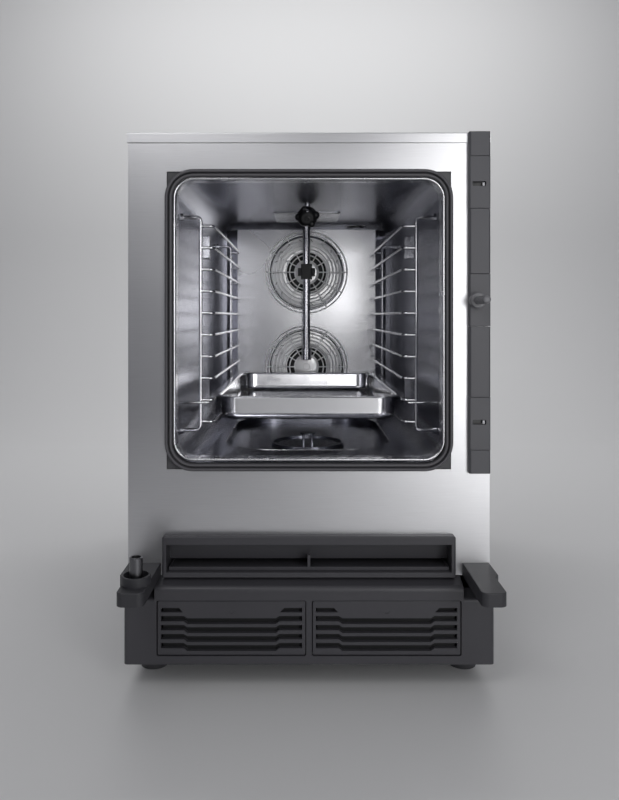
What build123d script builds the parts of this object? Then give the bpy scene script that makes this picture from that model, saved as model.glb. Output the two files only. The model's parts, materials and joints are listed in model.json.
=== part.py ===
"""Compact combi steamer oven without its door: cabinet, cavity, fans, racks and plastic base.

Units are millimetres.  +X is to the right, +Y to the back, +Z up.  The origin is on the floor,
in the middle of the overall width and depth.  Depths are counted from the front panel's face.
"""
import os
from math import cos, radians, sin

from build123d import *

os.makedirs("parts", exist_ok=True)

# --- driving dimensions -------------------------------------------------------------------
BODY_W = 535.0            # cabinet width
BODY_D = 820.0            # front panel face to rear panel face
BRACKET_REACH = 122.0     # door brackets in front of the front panel
REAR_REACH = 38.0         # pipe fittings behind the rear panel
FOOT_H = 40.0
BASE_TOP = 159.0          # plastic base and its frame end here
SEAM_Z = 799.0            # top cover's lower edge
TOP_Z = 814.0
SHEET = 1.5               # cabinet sheet
PLATE = 2.0               # base frame sheet
GAP = 0.5                 # seam between neighbouring covers
FIT = 0.05                # radial running clearance of a shaft in its bearing

FRONT_Y = BRACKET_REACH - (BRACKET_REACH + BODY_D + REAR_REACH) / 2
HALF_W = BODY_W / 2

# door opening, seen from the front
CUT_HALF, CUT_Z0, CUT_Z1 = 210.5, 315.7, 756.5      # square cut-out in the front panel
LIP_HALF, LIP_Z0, LIP_Z1 = 197.0, 329.5, 743.5      # clear opening inside the bright lip
LIP_R = 27.0
LIP_T = 4.0
GASKET_BAND = 11.0
GASKET_PROUD = 11.0

# cavity
CAVITY_HALF, FLOOR_Z, CEILING_Z = 208.0, 320.0, 760.0
CAVITY_R = 45.0
CAVITY_T = 1.2
CAVITY_FRONT, CAVITY_REAR = 6.0, 740.0
BAFFLE_Y = 652.0
SUMP_W, SUMP_Y0, SUMP_Y1, SUMP_R, SUMP_DEEP = 290.0, 137.0, 538.0, 90.0, 12.0
DRAIN_Y = 262.0
DRAIN_R = 17.5

# fans
FAN_Z = (423.5, 646.5)
FAN_NAMES = ("lower", "upper")
GUARD_R = 96.0
SHAFT_R = 6.0

# racks and pan
POST_X, RUNG_X = 174.0, 153.0
POST_R, RUNG_R = 3.0, 2.5
RACK_Y0, RACK_Y1 = 100.0, 600.0
RACK_TOP_Z, RACK_LOW_Z = 702.0, 359.0
RUNG_TOP_Z, RUNG_PITCH, RUNG_COUNT = 688.0, 35.1, 10
PAN_W, PAN_L, PAN_DEEP = 325.0, 530.0, 40.0
PAN_FRONT = 112.0
PAN_RUNG = 9              # counted from the top

# lock column at the right of the opening
COLUMN_X0, COLUMN_X1 = 235.5, 266.5
COLUMN_PROUD = 10.0
COLUMN_SEAMS = (814.0, 777.6, 700.6, 604.6, 527.4, 423.4, 345.9, 310.8)
STRIKER_X, STRIKER_Z, STRIKER_R, STRIKER_REACH = 246.0, 565.4, 6.0, 72.0

# plastic base
FASCIA_PROUD = 28.0
SHOULDER_Z = 136.0
CENTRE_HALF = 223.0
DRAWER_X0, DRAWER_X1, DRAWER_Z0, DRAWER_Z1 = 5.0, 219.0, 53.0, 131.0
DRAWER_T = 8.0
DRAWER_FACE = -FASCIA_PROUD + 1.5                   # depth of the drawer front's face
LOUVRE_PITCH, LOUVRE_ROWS = 12.95, 4
TUB_D = 330.0
HINGE_X, HINGE_DEPTH = -236.5, -85.0
BRACKET_Z0, BRACKET_Z1 = 159.2, 177.5
HOUSING_HALF, HOUSING_Z0, HOUSING_Z1 = 215.0, 161.0, 220.5
HOUSING_PROUD, HOUSING_DEEP = 15.0, 78.0


def at(depth):
    """Y of a point that lies depth behind the front panel's face."""
    return FRONT_Y + depth


def upright(depth):
    """Plane facing forward at that depth; its local axes are X and Z, extrude(-t) goes back."""
    return Plane.XZ.offset(-at(depth))


def side_plane(x):
    """Plane facing right at that X; its local axes are Y and Z, extrude(t) goes right."""
    return Plane.YZ.offset(x)


def level(z):
    """Level plane at that height; extrude(t) goes up."""
    return Plane.XY.offset(z)


def save(builder, name):
    """Label the finished piece and write its file."""
    builder.part.label = name
    export_step(builder.part, f"parts/{name}.step")


def window(half, z0, z1, radius=0.0):
    """Draw a rectangle, rounded if asked, in the open upright sketch."""
    with Locations((0, (z0 + z1) / 2)):
        if radius > 0:
            RectangleRounded(2 * half, z1 - z0, radius)
        else:
            Rectangle(2 * half, z1 - z0)


# --- cabinet covers -----------------------------------------------------------------------
with BuildPart() as front_panel:
    with BuildSketch(upright(0)):
        window(HALF_W, BASE_TOP + GAP, SEAM_Z - GAP)
        with Locations((0, (CUT_Z0 + CUT_Z1) / 2)):
            Rectangle(2 * CUT_HALF, CUT_Z1 - CUT_Z0, mode=Mode.SUBTRACT)
        with Locations((0, (HOUSING_Z0 + HOUSING_Z1) / 2)):
            Rectangle(2 * HOUSING_HALF - 8, HOUSING_Z1 - HOUSING_Z0 - 8, mode=Mode.SUBTRACT)
    extrude(amount=-SHEET)
    with BuildSketch(level(BASE_TOP + GAP)):           # return flanges inside the side panels
        for side in (-1, 1):
            with Locations((side * (HALF_W - 2 * SHEET - 0.3), at(SHEET + 9))):
                Rectangle(SHEET, 20)
    extrude(amount=SEAM_Z - BASE_TOP - 2 * GAP)
save(front_panel, "front_panel")


def side_panel(side):
    """Flat side cover with a field of cooling slots low at the rear."""
    slot_rows, slot_pitch, slot_len, slot_h = 9, 14.0, 62.0, 5.0
    with BuildPart() as panel:
        with BuildSketch(side_plane(side * HALF_W)):
            with Locations((at((SHEET + BODY_D) / 2), (BASE_TOP + SEAM_Z) / 2)):
                Rectangle(BODY_D - SHEET, SEAM_Z - BASE_TOP - 2 * GAP)
            with Locations((at(BODY_D - 130), BASE_TOP + 110)):
                with GridLocations(slot_len + 14, slot_pitch, 2, slot_rows):
                    SlotOverall(slot_len, slot_h, mode=Mode.SUBTRACT)
        extrude(amount=-side * SHEET)
    return panel


left_panel = side_panel(-1)
save(left_panel, "left_panel")
right_panel = side_panel(1)
save(right_panel, "right_panel")

# rear fittings, their places on the rear panel
INLET_X, INLET_Z, INLET_R = -190.0, 205.0, 13.2
OUTLET_X, OUTLET_Z, OUTLET_R = 0.0, 200.0, 20.0
GLAND_X, GLAND_Z, GLAND_R = 190.0, 230.0, 12.5
FAN_SLOTS_Z = 560.0

with BuildPart() as rear_panel:
    with BuildSketch(upright(BODY_D - SHEET)):
        window(HALF_W - SHEET - 0.3, BASE_TOP + GAP, SEAM_Z - GAP)
        for hole_x, hole_z, hole_r in ((INLET_X, INLET_Z, INLET_R), (OUTLET_X, OUTLET_Z, OUTLET_R),
                                       (GLAND_X, GLAND_Z, GLAND_R)):
            with Locations((hole_x, hole_z)):
                Circle(hole_r + 1.5, mode=Mode.SUBTRACT)
        with Locations((0, FAN_SLOTS_Z)):
            with GridLocations(84, 16, 4, 12):
                SlotOverall(66, 5, mode=Mode.SUBTRACT)
    extrude(amount=-SHEET)
save(rear_panel, "rear_panel")

EXHAUST_X, EXHAUST_DEPTH, EXHAUST_R, EXHAUST_TOP = 120.0, 700.0, 25.0, 846.0
COVER_OVER = 1.5          # the top cover overhangs the sides by this much

with BuildPart() as top_cover:
    with BuildSketch(level(SEAM_Z)):
        with Locations((0, at((BODY_D - COVER_OVER) / 2))):
            Rectangle(BODY_W + 2 * COVER_OVER, BODY_D + COVER_OVER)
    extrude(amount=TOP_Z - SEAM_Z)
    outer_edges = top_cover.edges().group_by(Axis.Z)[-1]
    fillet(outer_edges, radius=1.5)
    with BuildSketch(level(SEAM_Z)):
        with Locations((0, at(BODY_D / 2))):
            Rectangle(BODY_W, BODY_D - 2 * SHEET)
    extrude(amount=TOP_Z - SEAM_Z - SHEET, mode=Mode.SUBTRACT)
    with BuildSketch(level(SEAM_Z)):                 # notch for the lock column's cap
        with Locations((COLUMN_X0 + 25, at(-1))):
            Rectangle(50.6, 2.6)
    extrude(amount=TOP_Z - SEAM_Z, mode=Mode.SUBTRACT)
    with BuildSketch(level(SEAM_Z)):
        with Locations((EXHAUST_X, at(EXHAUST_DEPTH))):
            Circle(EXHAUST_R + 1.5)
    extrude(amount=TOP_Z - SEAM_Z, mode=Mode.SUBTRACT)
save(top_cover, "top_cover")

# --- base ---------------------------------------------------------------------------------
FASCIA_REAR = 4.0

with BuildPart() as base_frame:
    with BuildSketch(level(FOOT_H)):
        with Locations((0, at((FASCIA_REAR + BODY_D) / 2))):
            RectangleRounded(BODY_W, BODY_D - FASCIA_REAR, 4)
    extrude(amount=BASE_TOP - FOOT_H)
    with BuildSketch(upright(FASCIA_REAR)):           # open at the front for the drawers
        window(HALF_W - PLATE, FOOT_H + PLATE, BASE_TOP - PLATE)
    extrude(amount=-(BODY_D - FASCIA_REAR - PLATE), mode=Mode.SUBTRACT)
    with BuildSketch(level(BASE_TOP - PLATE)):        # way for the cables and the hoses
        with Locations((0, at(BODY_D - 120))):
            RectangleRounded(360, 120, 12)
    extrude(amount=PLATE, mode=Mode.SUBTRACT)
save(base_frame, "base_frame")

FOOT_X, FOOT_DEPTHS = 240.0, (62.0, 758.0)

with BuildPart() as levelling_feet:
    foot_places = [(side * FOOT_X, at(depth)) for side in (-1, 1) for depth in FOOT_DEPTHS]
    with BuildSketch(level(0)):
        with Locations(*foot_places):
            Circle(21)
    extrude(amount=9)
    with BuildSketch(level(9)):
        with Locations(*foot_places):
            Circle(14)
    extrude(amount=15)
    with BuildSketch(level(24)):
        with Locations(*foot_places):
            RegularPolygon(11, 6)
    extrude(amount=8)
    with BuildSketch(level(32)):
        with Locations(*foot_places):
            Circle(5.9)
    extrude(amount=FOOT_H - 32)
save(levelling_feet, "levelling_feet")

with BuildPart() as base_fascia:
    with BuildSketch(side_plane(-HALF_W)):
        with BuildLine():
            Polyline((at(-FASCIA_PROUD), FOOT_H), (at(FASCIA_REAR), FOOT_H), (at(FASCIA_REAR), SHOULDER_Z + 3),
                     (at(-FASCIA_PROUD), SHOULDER_Z - 2), (at(-FASCIA_PROUD), FOOT_H))
        make_face()
    extrude(amount=BODY_W)
    corner_edges = base_fascia.edges().filter_by(Axis.Z).group_by(Axis.Y)[0]
    fillet(corner_edges, radius=6)
    shoulder_edges = base_fascia.edges().filter_by(Axis.X).group_by(Axis.Y)[0].sort_by(Axis.Z)[-1]
    fillet(shoulder_edges, radius=4)
    with BuildSketch(side_plane(-CENTRE_HALF)):
        with BuildLine():
            Polyline((at(-FASCIA_PROUD), SHOULDER_Z - 20), (at(FASCIA_REAR), SHOULDER_Z - 20),
                     (at(FASCIA_REAR), BASE_TOP), (at(0), BASE_TOP), (at(-FASCIA_PROUD), BASE_TOP - 8),
                     (at(-FASCIA_PROUD), SHOULDER_Z - 20))
        make_face()
    extrude(amount=2 * CENTRE_HALF)
    crown_edge = base_fascia.edges().filter_by(Axis.X).filter_by(
        lambda e: abs(e.center().Y - at(-FASCIA_PROUD)) < 0.1 and e.center().Z > SHOULDER_Z + 5)
    fillet(crown_edge, radius=8)
    with BuildSketch(upright(-FASCIA_PROUD)):         # drawer openings
        for side in (-1, 1):
            with Locations((side * (DRAWER_X0 + DRAWER_X1) / 2, (DRAWER_Z0 + DRAWER_Z1) / 2)):
                RectangleRounded(DRAWER_X1 - DRAWER_X0 + 2, DRAWER_Z1 - DRAWER_Z0 + 2, 3)
    extrude(amount=-(FASCIA_PROUD + FASCIA_REAR), mode=Mode.SUBTRACT)
save(base_fascia, "base_fascia")


def louvre_outline(centre_x, row):
    """Corners of one stepped slot: its two side parts sit higher than its long middle part."""
    side_top, side_h, middle_top, middle_h = 109.3, 7.7, 106.1, 8.4
    x_end, x_step, x_low = 102.0, 69.0, 64.0
    upper = [(x_end, side_top), (x_step, side_top), (x_low, middle_top)]
    lower = [(x_end, side_top - side_h), (x_step, side_top - side_h), (x_low, middle_top - middle_h)]
    ring = [(-x, z) for x, z in upper] + upper[::-1] + lower + [(-x, z) for x, z in lower[::-1]]
    return [(centre_x + x, z - row * LOUVRE_PITCH) for x, z in ring]


def drawer_front(side):
    """Louvred drawer front with a plain plate and a dimple above the slots."""
    centre_x = side * (DRAWER_X0 + DRAWER_X1) / 2
    plate_half, plate_slant, top_z, top_h = 76.0, 6.0, 121.0, 6.5
    with BuildPart() as front:
        with BuildSketch(upright(DRAWER_FACE)):
            with Locations((centre_x, (DRAWER_Z0 + DRAWER_Z1) / 2)):
                RectangleRounded(DRAWER_X1 - DRAWER_X0, DRAWER_Z1 - DRAWER_Z0, 2.5)
        extrude(amount=-DRAWER_T)
        face_edges = front.faces().sort_by(Axis.Y)[0].edges()
        fillet(face_edges, radius=1.0)
        for row in range(LOUVRE_ROWS):
            with BuildSketch(upright(DRAWER_FACE)):
                with BuildLine():
                    Polyline(*louvre_outline(centre_x, row), close=True)
                make_face()
            extrude(amount=-DRAWER_T, mode=Mode.SUBTRACT)
        with BuildSketch(upright(DRAWER_FACE)):       # short top row beside the plain plate
            for end in (-1, 1):
                with BuildLine():
                    Polyline((centre_x + end * 102, top_z), (centre_x + end * plate_half, top_z),
                             (centre_x + end * (plate_half - plate_slant), top_z - top_h),
                             (centre_x + end * 102, top_z - top_h), (centre_x + end * 102, top_z))
                make_face()
        extrude(amount=-DRAWER_T, mode=Mode.SUBTRACT)
        with BuildSketch(upright(DRAWER_FACE)):
            with Locations((centre_x, 117)):
                Circle(4.5)
        extrude(amount=-0.6, mode=Mode.SUBTRACT)
    return front


TUB_X0, TUB_X1, TUB_Z0, TUB_Z1, TUB_T = 12.0, 212.0, 57.0, 127.0, 2.5


def drawer_tub(side):
    """Open tub behind a drawer front."""
    centre_x = side * (TUB_X0 + TUB_X1) / 2
    front_depth = DRAWER_FACE + DRAWER_T
    with BuildPart() as tub:
        with BuildSketch(level(TUB_Z0)):
            with Locations((centre_x, at(front_depth + TUB_D / 2))):
                Rectangle(TUB_X1 - TUB_X0, TUB_D)
        extrude(amount=TUB_Z1 - TUB_Z0)
        with BuildSketch(level(TUB_Z0 + TUB_T)):
            with Locations((centre_x, at(front_depth + TUB_D / 2))):
                RectangleRounded(TUB_X1 - TUB_X0 - 2 * TUB_T, TUB_D - 2 * TUB_T, 6)
        extrude(amount=TUB_Z1 - TUB_Z0, mode=Mode.SUBTRACT)
    return tub


for side, name in ((-1, "left"), (1, "right")):
    save(drawer_front(side), f"{name}_drawer_front")
    save(drawer_tub(side), f"{name}_drawer_tub")

RUNNER_GAP = 0.8

with BuildPart() as drawer_runners:
    rail_y = at(FASCIA_REAR + 1 + (TUB_D + 20) / 2)
    rail_top = TUB_Z0 - RUNNER_GAP
    for edge_x in (TUB_X0 + 4, TUB_X1 - 4):
        for side in (-1, 1):
            with BuildSketch(level(FOOT_H + PLATE)):
                with Locations((side * edge_x, rail_y)):
                    Rectangle(14, TUB_D + 20)
            extrude(amount=rail_top - FOOT_H - PLATE)
            with BuildSketch(level(FOOT_H + PLATE)):
                with Locations((side * (edge_x + (5.8 if edge_x > 100 else -5.8)), rail_y)):
                    Rectangle(2.4, TUB_D + 20)
            extrude(amount=28)
save(drawer_runners, "drawer_runners")

CAN_W, CAN_L, CAN_H = 150.0, 210.0, 52.0

with BuildPart() as care_canister:
    can_x, can_y = -(TUB_X0 + TUB_X1) / 2, at(150)
    can_z = TUB_Z0 + TUB_T + 0.3
    with BuildSketch(level(can_z)):
        with Locations((can_x, can_y)):
            RectangleRounded(CAN_W, CAN_L, 16)
    extrude(amount=CAN_H)
    fillet(care_canister.edges().group_by(Axis.Z)[-1], radius=8)
    with BuildSketch(level(can_z + CAN_H)):
        with Locations((can_x, can_y - 60)):
            Circle(19)
    extrude(amount=11)
save(care_canister, "care_canister")


# --- cavity -------------------------------------------------------------------------------
def cavity_outline(grow):
    """Draw the cavity's rounded section, grown all round, in the open upright sketch."""
    window(CAVITY_HALF + grow, FLOOR_Z - grow, CEILING_Z + grow, CAVITY_R + grow)


def lip_outline(grow):
    """Draw the rounded clear opening, grown all round, in the open upright sketch."""
    window(LIP_HALF + grow, LIP_Z0 - grow, LIP_Z1 + grow, LIP_R + grow)


SUMP_MID, SUMP_L = (SUMP_Y0 + SUMP_Y1) / 2, SUMP_Y1 - SUMP_Y0
SUMP_FLOOR = FLOOR_Z - SUMP_DEEP
STEM_DEPTH, STEM_R = 350.0, 5.0
EXHAUST_WALL = 1.5
FLANGE_HALF, FLANGE_Z0, FLANGE_Z1 = 222.0, 304.0, 772.0

with BuildPart() as cavity_liner:
    with BuildSketch(upright(CAVITY_FRONT)):
        cavity_outline(CAVITY_T)
    extrude(amount=-(CAVITY_REAR - CAVITY_FRONT))
    with BuildSketch(upright(CAVITY_FRONT)):          # flange that the seal plate covers
        window(FLANGE_HALF, FLANGE_Z0, FLANGE_Z1, 6)
    extrude(amount=-CAVITY_T)
    with BuildSketch(level(SUMP_FLOOR - CAVITY_T)):
        with Locations((0, at(SUMP_MID))):
            RectangleRounded(SUMP_W + 2 * CAVITY_T, SUMP_L + 2 * CAVITY_T, SUMP_R + CAVITY_T)
    extrude(amount=SUMP_DEEP)
    with BuildSketch(upright(CAVITY_FRONT)):
        cavity_outline(0)
    extrude(amount=-(CAVITY_REAR - CAVITY_FRONT - CAVITY_T), mode=Mode.SUBTRACT)
    with BuildSketch(level(SUMP_FLOOR)):
        with Locations((0, at(SUMP_MID))):
            RectangleRounded(SUMP_W, SUMP_L, SUMP_R)
    extrude(amount=SUMP_DEEP + 1, mode=Mode.SUBTRACT)
    with BuildSketch(level(SUMP_FLOOR - CAVITY_T)):
        with Locations((0, at(DRAIN_Y))):
            Circle(DRAIN_R)
    extrude(amount=CAVITY_T, mode=Mode.SUBTRACT)
    with BuildSketch(level(CEILING_Z)):
        with Locations((0, at(STEM_DEPTH))):
            Circle(STEM_R + 0.5)
        with Locations((EXHAUST_X, at(EXHAUST_DEPTH))):
            Circle(EXHAUST_R - EXHAUST_WALL)
    extrude(amount=CAVITY_T, mode=Mode.SUBTRACT)
    with BuildSketch(upright(CAVITY_REAR)):
        with Locations(*[(0, fan_z) for fan_z in FAN_Z]):
            Circle(2 * SHAFT_R)
    extrude(amount=CAVITY_T, mode=Mode.SUBTRACT)
save(cavity_liner, "cavity_liner")

SEAL_DEPTH = 3.0

with BuildPart() as seal_plate:
    with BuildSketch(upright(SEAL_DEPTH)):
        window(CUT_HALF + 7, CUT_Z0 - 7, CUT_Z1 + 7)
        with Locations((0, (LIP_Z0 + LIP_Z1) / 2)):
            RectangleRounded(2 * (LIP_HALF + LIP_T + 0.3), LIP_Z1 - LIP_Z0 + 2 * (LIP_T + 0.3),
                             LIP_R + LIP_T + 0.3, mode=Mode.SUBTRACT)
    extrude(amount=-2)
save(seal_plate, "seal_plate")

LIP_PROUD, LIP_BACK = 5.0, 24.0

with BuildPart() as opening_trim:
    with BuildSketch(upright(-LIP_PROUD)):
        lip_outline(LIP_T)
    extrude(amount=-(LIP_PROUD + LIP_BACK))
    fillet(opening_trim.faces().sort_by(Axis.Y)[0].edges(), radius=1.2)
    with BuildSketch(upright(LIP_BACK)):              # turned out to the cavity wall
        cavity_outline(-0.4)
    extrude(amount=-CAVITY_T)
    with BuildSketch(upright(-LIP_PROUD)):
        lip_outline(0)
    extrude(amount=-(LIP_PROUD + LIP_BACK + CAVITY_T), mode=Mode.SUBTRACT)
save(opening_trim, "opening_trim")

GASKET_IN = LIP_T + 0.3
GASKET_OUT = GASKET_IN + GASKET_BAND
GASKET_FOOT_OUT = GASKET_OUT - 2.6                    # passes through the square cut-out

with BuildPart() as door_gasket:
    with BuildSketch(upright(-GASKET_PROUD)):
        lip_outline(GASKET_OUT)
    extrude(amount=-(GASKET_PROUD - 1))
    fillet(door_gasket.faces().sort_by(Axis.Y)[0].edges(), radius=2.2)
    with BuildSketch(upright(-1)):
        lip_outline(GASKET_FOOT_OUT)
    extrude(amount=-(1 + SEAL_DEPTH - 0.2))
    with BuildSketch(upright(-GASKET_PROUD)):
        lip_outline(GASKET_IN)
    extrude(amount=-(GASKET_PROUD + SEAL_DEPTH), mode=Mode.SUBTRACT)
    with BuildSketch(upright(-GASKET_PROUD)):
        lip_outline(GASKET_IN + 6.2)
        with Locations((0, (LIP_Z0 + LIP_Z1) / 2)):
            RectangleRounded(2 * (LIP_HALF + GASKET_IN + 3.8), LIP_Z1 - LIP_Z0 + 2 * (GASKET_IN + 3.8),
                             LIP_R + GASKET_IN + 3.8, mode=Mode.SUBTRACT)
    extrude(amount=-6, mode=Mode.SUBTRACT)
save(door_gasket, "door_gasket")

WOOL_SIDE, WOOL_Z0, WOOL_Z1 = 38.0, 292.0, 790.0

with BuildPart() as insulation:
    with BuildSketch(upright(CAVITY_FRONT + 3)):
        window(CAVITY_HALF + WOOL_SIDE, WOOL_Z0, WOOL_Z1, 20)
    extrude(amount=-(CAVITY_REAR - CAVITY_FRONT - 3))
    with BuildSketch(upright(CAVITY_FRONT + 3)):
        cavity_outline(CAVITY_T + 0.5)
    extrude(amount=-(CAVITY_REAR - CAVITY_FRONT - 3), mode=Mode.SUBTRACT)
    with BuildSketch(level(SUMP_FLOOR - CAVITY_T - 1)):
        with Locations((0, at(SUMP_MID))):
            RectangleRounded(SUMP_W + 6, SUMP_L + 6, SUMP_R + 3)
    extrude(amount=SUMP_DEEP + 3, mode=Mode.SUBTRACT)
    with BuildSketch(level(WOOL_Z0)):
        with Locations((0, at(DRAIN_Y))):
            Circle(OUTLET_R + 2)
    extrude(amount=FLOOR_Z - WOOL_Z0, mode=Mode.SUBTRACT)
    with BuildSketch(level(CEILING_Z)):
        with Locations((0, at(STEM_DEPTH))):
            Circle(STEM_R + 2)
        with Locations((EXHAUST_X, at(EXHAUST_DEPTH))):
            Circle(EXHAUST_R + 2)
    extrude(amount=WOOL_Z1 - CEILING_Z, mode=Mode.SUBTRACT)
save(insulation, "insulation")

# --- fans ---------------------------------------------------------------------------------
BAFFLE_HALF, BAFFLE_Z0, BAFFLE_Z1, BAFFLE_T = 163.0, 332.0, 747.4, 1.5
WING_X, WING_BACK = 191.0, 31.0
INLET_HOLE_R = 90.0

with BuildPart() as fan_baffle:
    with BuildSketch(level(BAFFLE_Z0)):
        with BuildLine():
            Polyline((-WING_X, at(BAFFLE_Y + WING_BACK)), (-BAFFLE_HALF, at(BAFFLE_Y)),
                     (BAFFLE_HALF, at(BAFFLE_Y)), (WING_X, at(BAFFLE_Y + WING_BACK)),
                     (WING_X - 2, at(BAFFLE_Y + WING_BACK)), (BAFFLE_HALF - 0.7, at(BAFFLE_Y + BAFFLE_T)),
                     (-BAFFLE_HALF + 0.7, at(BAFFLE_Y + BAFFLE_T)), (2 - WING_X, at(BAFFLE_Y + WING_BACK)),
                     close=True)
        make_face()
    extrude(amount=BAFFLE_Z1 - BAFFLE_Z0)
    with BuildSketch(upright(BAFFLE_Y)):
        with Locations(*[(0, fan_z) for fan_z in FAN_Z]):
            Circle(INLET_HOLE_R)
    extrude(amount=-BAFFLE_T, mode=Mode.SUBTRACT)
    with BuildSketch(upright(BAFFLE_Y + 1)):          # stand-off posts to the rear wall
        with Locations(*[(x, z) for x in (-148, 148) for z in (BAFFLE_Z0 + 18, BAFFLE_Z1 - 18)]):
            Circle(5)
    extrude(amount=-(CAVITY_REAR - CAVITY_T - BAFFLE_Y - 1))
save(fan_baffle, "fan_baffle")

GUARD_RINGS = (40.0, 48.0, 56.0, 64.0, 72.0, 80.0, 88.0, GUARD_R)
GUARD_SPOKES = 12
GUARD_WIRE_R = 1.3
GUARD_DEPTH = BAFFLE_Y - 7.0
SPOKE_R0 = 28.0


def fan_guard(fan_z):
    """Round guard of concentric wires on radial wires, with pegs to the baffle."""
    spoke_depth = GUARD_DEPTH + 1.6 * GUARD_WIRE_R
    with BuildPart() as guard:
        for ring_r in (SPOKE_R0,) + GUARD_RINGS:
            with BuildSketch(Plane.XY.offset(fan_z)):
                with Locations((ring_r, at(GUARD_DEPTH))):
                    Circle(GUARD_WIRE_R)
            revolve(axis=Axis((0, 0, fan_z), (0, 1, 0)))
        for index in range(GUARD_SPOKES):
            turn = 360 / GUARD_SPOKES * (index + 0.5)
            spoke_dir = (cos(radians(turn)), 0, sin(radians(turn)))
            start = (SPOKE_R0 * spoke_dir[0], at(spoke_depth), fan_z + SPOKE_R0 * spoke_dir[2])
            with BuildSketch(Plane(origin=start, z_dir=spoke_dir)):
                Circle(GUARD_WIRE_R)
            extrude(amount=GUARD_R - SPOKE_R0)
        for turn in (45, 135, 225, 315):
            peg = (0.96 * GUARD_R * cos(radians(turn)), fan_z + 0.96 * GUARD_R * sin(radians(turn)))
            with BuildSketch(upright(spoke_depth)):
                with Locations(peg):
                    Circle(2.2)
            extrude(amount=-(BAFFLE_Y - spoke_depth))
    return guard


HUB_CAP_R, HUB_R, EYE_R, WHEEL_R = 30.0, 16.0, 50.0, 84.0
WHEEL_FRONT, WHEEL_REAR, BLADES = BAFFLE_Y + 8.0, BAFFLE_Y + 58.0, 18
SHAFT_END = CAVITY_REAR + 55.0


def impeller(fan_z):
    """Shrouded radial wheel with its shaft."""
    with BuildPart() as wheel:
        with BuildSketch(upright(WHEEL_REAR - 2)):
            with Locations((0, fan_z)):
                Circle(WHEEL_R)
        extrude(amount=-2)
        with BuildSketch(upright(WHEEL_FRONT - 3)):
            with Locations((0, fan_z)):
                Circle(HUB_CAP_R)
        extrude(amount=-3)
        with BuildSketch(upright(WHEEL_FRONT - 2)):
            with Locations((0, fan_z)):
                Circle(HUB_R)
        extrude(amount=-(WHEEL_REAR - WHEEL_FRONT + 6))
        with BuildSketch(upright(WHEEL_FRONT)):
            with Locations((0, fan_z)):
                Circle(WHEEL_R)
                Circle(EYE_R, mode=Mode.SUBTRACT)
        extrude(amount=-1.5)
        with BuildSketch(upright(WHEEL_FRONT + 1)):
            with Locations((0, fan_z)):
                with PolarLocations((EYE_R + WHEEL_R) / 2, BLADES):
                    Rectangle(WHEEL_R - EYE_R - 2, 1.6)
        extrude(amount=-(WHEEL_REAR - WHEEL_FRONT - 2))
        with BuildSketch(upright(WHEEL_REAR)):
            with Locations((0, fan_z)):
                Circle(SHAFT_R)
        extrude(amount=-(SHAFT_END - WHEEL_REAR))
    return wheel


MOTOR_R, MOTOR_FRONT, MOTOR_REAR = 54.0, CAVITY_REAR + 3.0, BODY_D - 6.0


def fan_motor(fan_z):
    """Finned motor behind the cavity's rear wall, bored for the wheel's shaft."""
    with BuildPart() as motor:
        with BuildSketch(upright(MOTOR_FRONT)):
            with Locations((0, fan_z)):
                RectangleRounded(112, 112, 14)
        extrude(amount=-5)
        with BuildSketch(upright(MOTOR_FRONT + 5)):
            with Locations((0, fan_z)):
                Circle(MOTOR_R - 5)
        extrude(amount=-(MOTOR_REAR - MOTOR_FRONT - 5))
        with BuildSketch(upright(MOTOR_FRONT + 12)):
            with Locations((0, fan_z)):
                with PolarLocations(MOTOR_R - 4, 24):
                    Rectangle(8, 2.4)
        extrude(amount=-(MOTOR_REAR - MOTOR_FRONT - 20))
        with BuildSketch(upright(MOTOR_FRONT)):
            with Locations((0, fan_z)):
                Circle(SHAFT_R + FIT)
        extrude(amount=-(SHAFT_END - MOTOR_FRONT + 1), mode=Mode.SUBTRACT)
    return motor


for fan_z, name in zip(FAN_Z, FAN_NAMES):
    save(fan_guard(fan_z), f"{name}_fan_guard")
    save(impeller(fan_z), f"{name}_impeller")
    save(fan_motor(fan_z), f"{name}_fan_motor")

HEATER_R, HEATER_WIRE_R = 96.0, 4.0

with BuildPart() as heating_elements:
    for fan_z in FAN_Z:
        for depth in (BAFFLE_Y + 22, BAFFLE_Y + 44):
            with BuildSketch(level(fan_z)):
                with Locations((HEATER_R, at(depth))):
                    Circle(HEATER_WIRE_R)
            revolve(axis=Axis((0, 0, fan_z), (0, 1, 0)))
        with BuildSketch(upright(BAFFLE_Y + 22)):
            with Locations((0, fan_z - HEATER_R), (0, fan_z + HEATER_R)):
                Circle(HEATER_WIRE_R - 0.5)
        extrude(amount=-(CAVITY_REAR - CAVITY_T - BAFFLE_Y - 22))
save(heating_elements, "heating_elements")

# --- racks and pan ------------------------------------------------------------------------
RUNG_BEND, POST_BEND = 7.0, 8.0
WIRE_END_GAP = 2.0        # wire ends stop short of the cavity's rounded walls
STOP_Z, STOP_R, STOP_IN = 403.5, 2.2, 160.0


def bent_wire(points, wire_r, bend_r):
    """Round wire along straight runs that are joined by bends."""
    with BuildPart() as wire:
        with BuildLine() as path:
            if len(points) > 2:
                FilletPolyline(*points, radius=bend_r)
            else:
                Line(*points)
        with BuildSketch(Plane(origin=path.line @ 0, z_dir=path.line % 0)):
            Circle(wire_r)
        sweep()
    return wire.part


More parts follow.
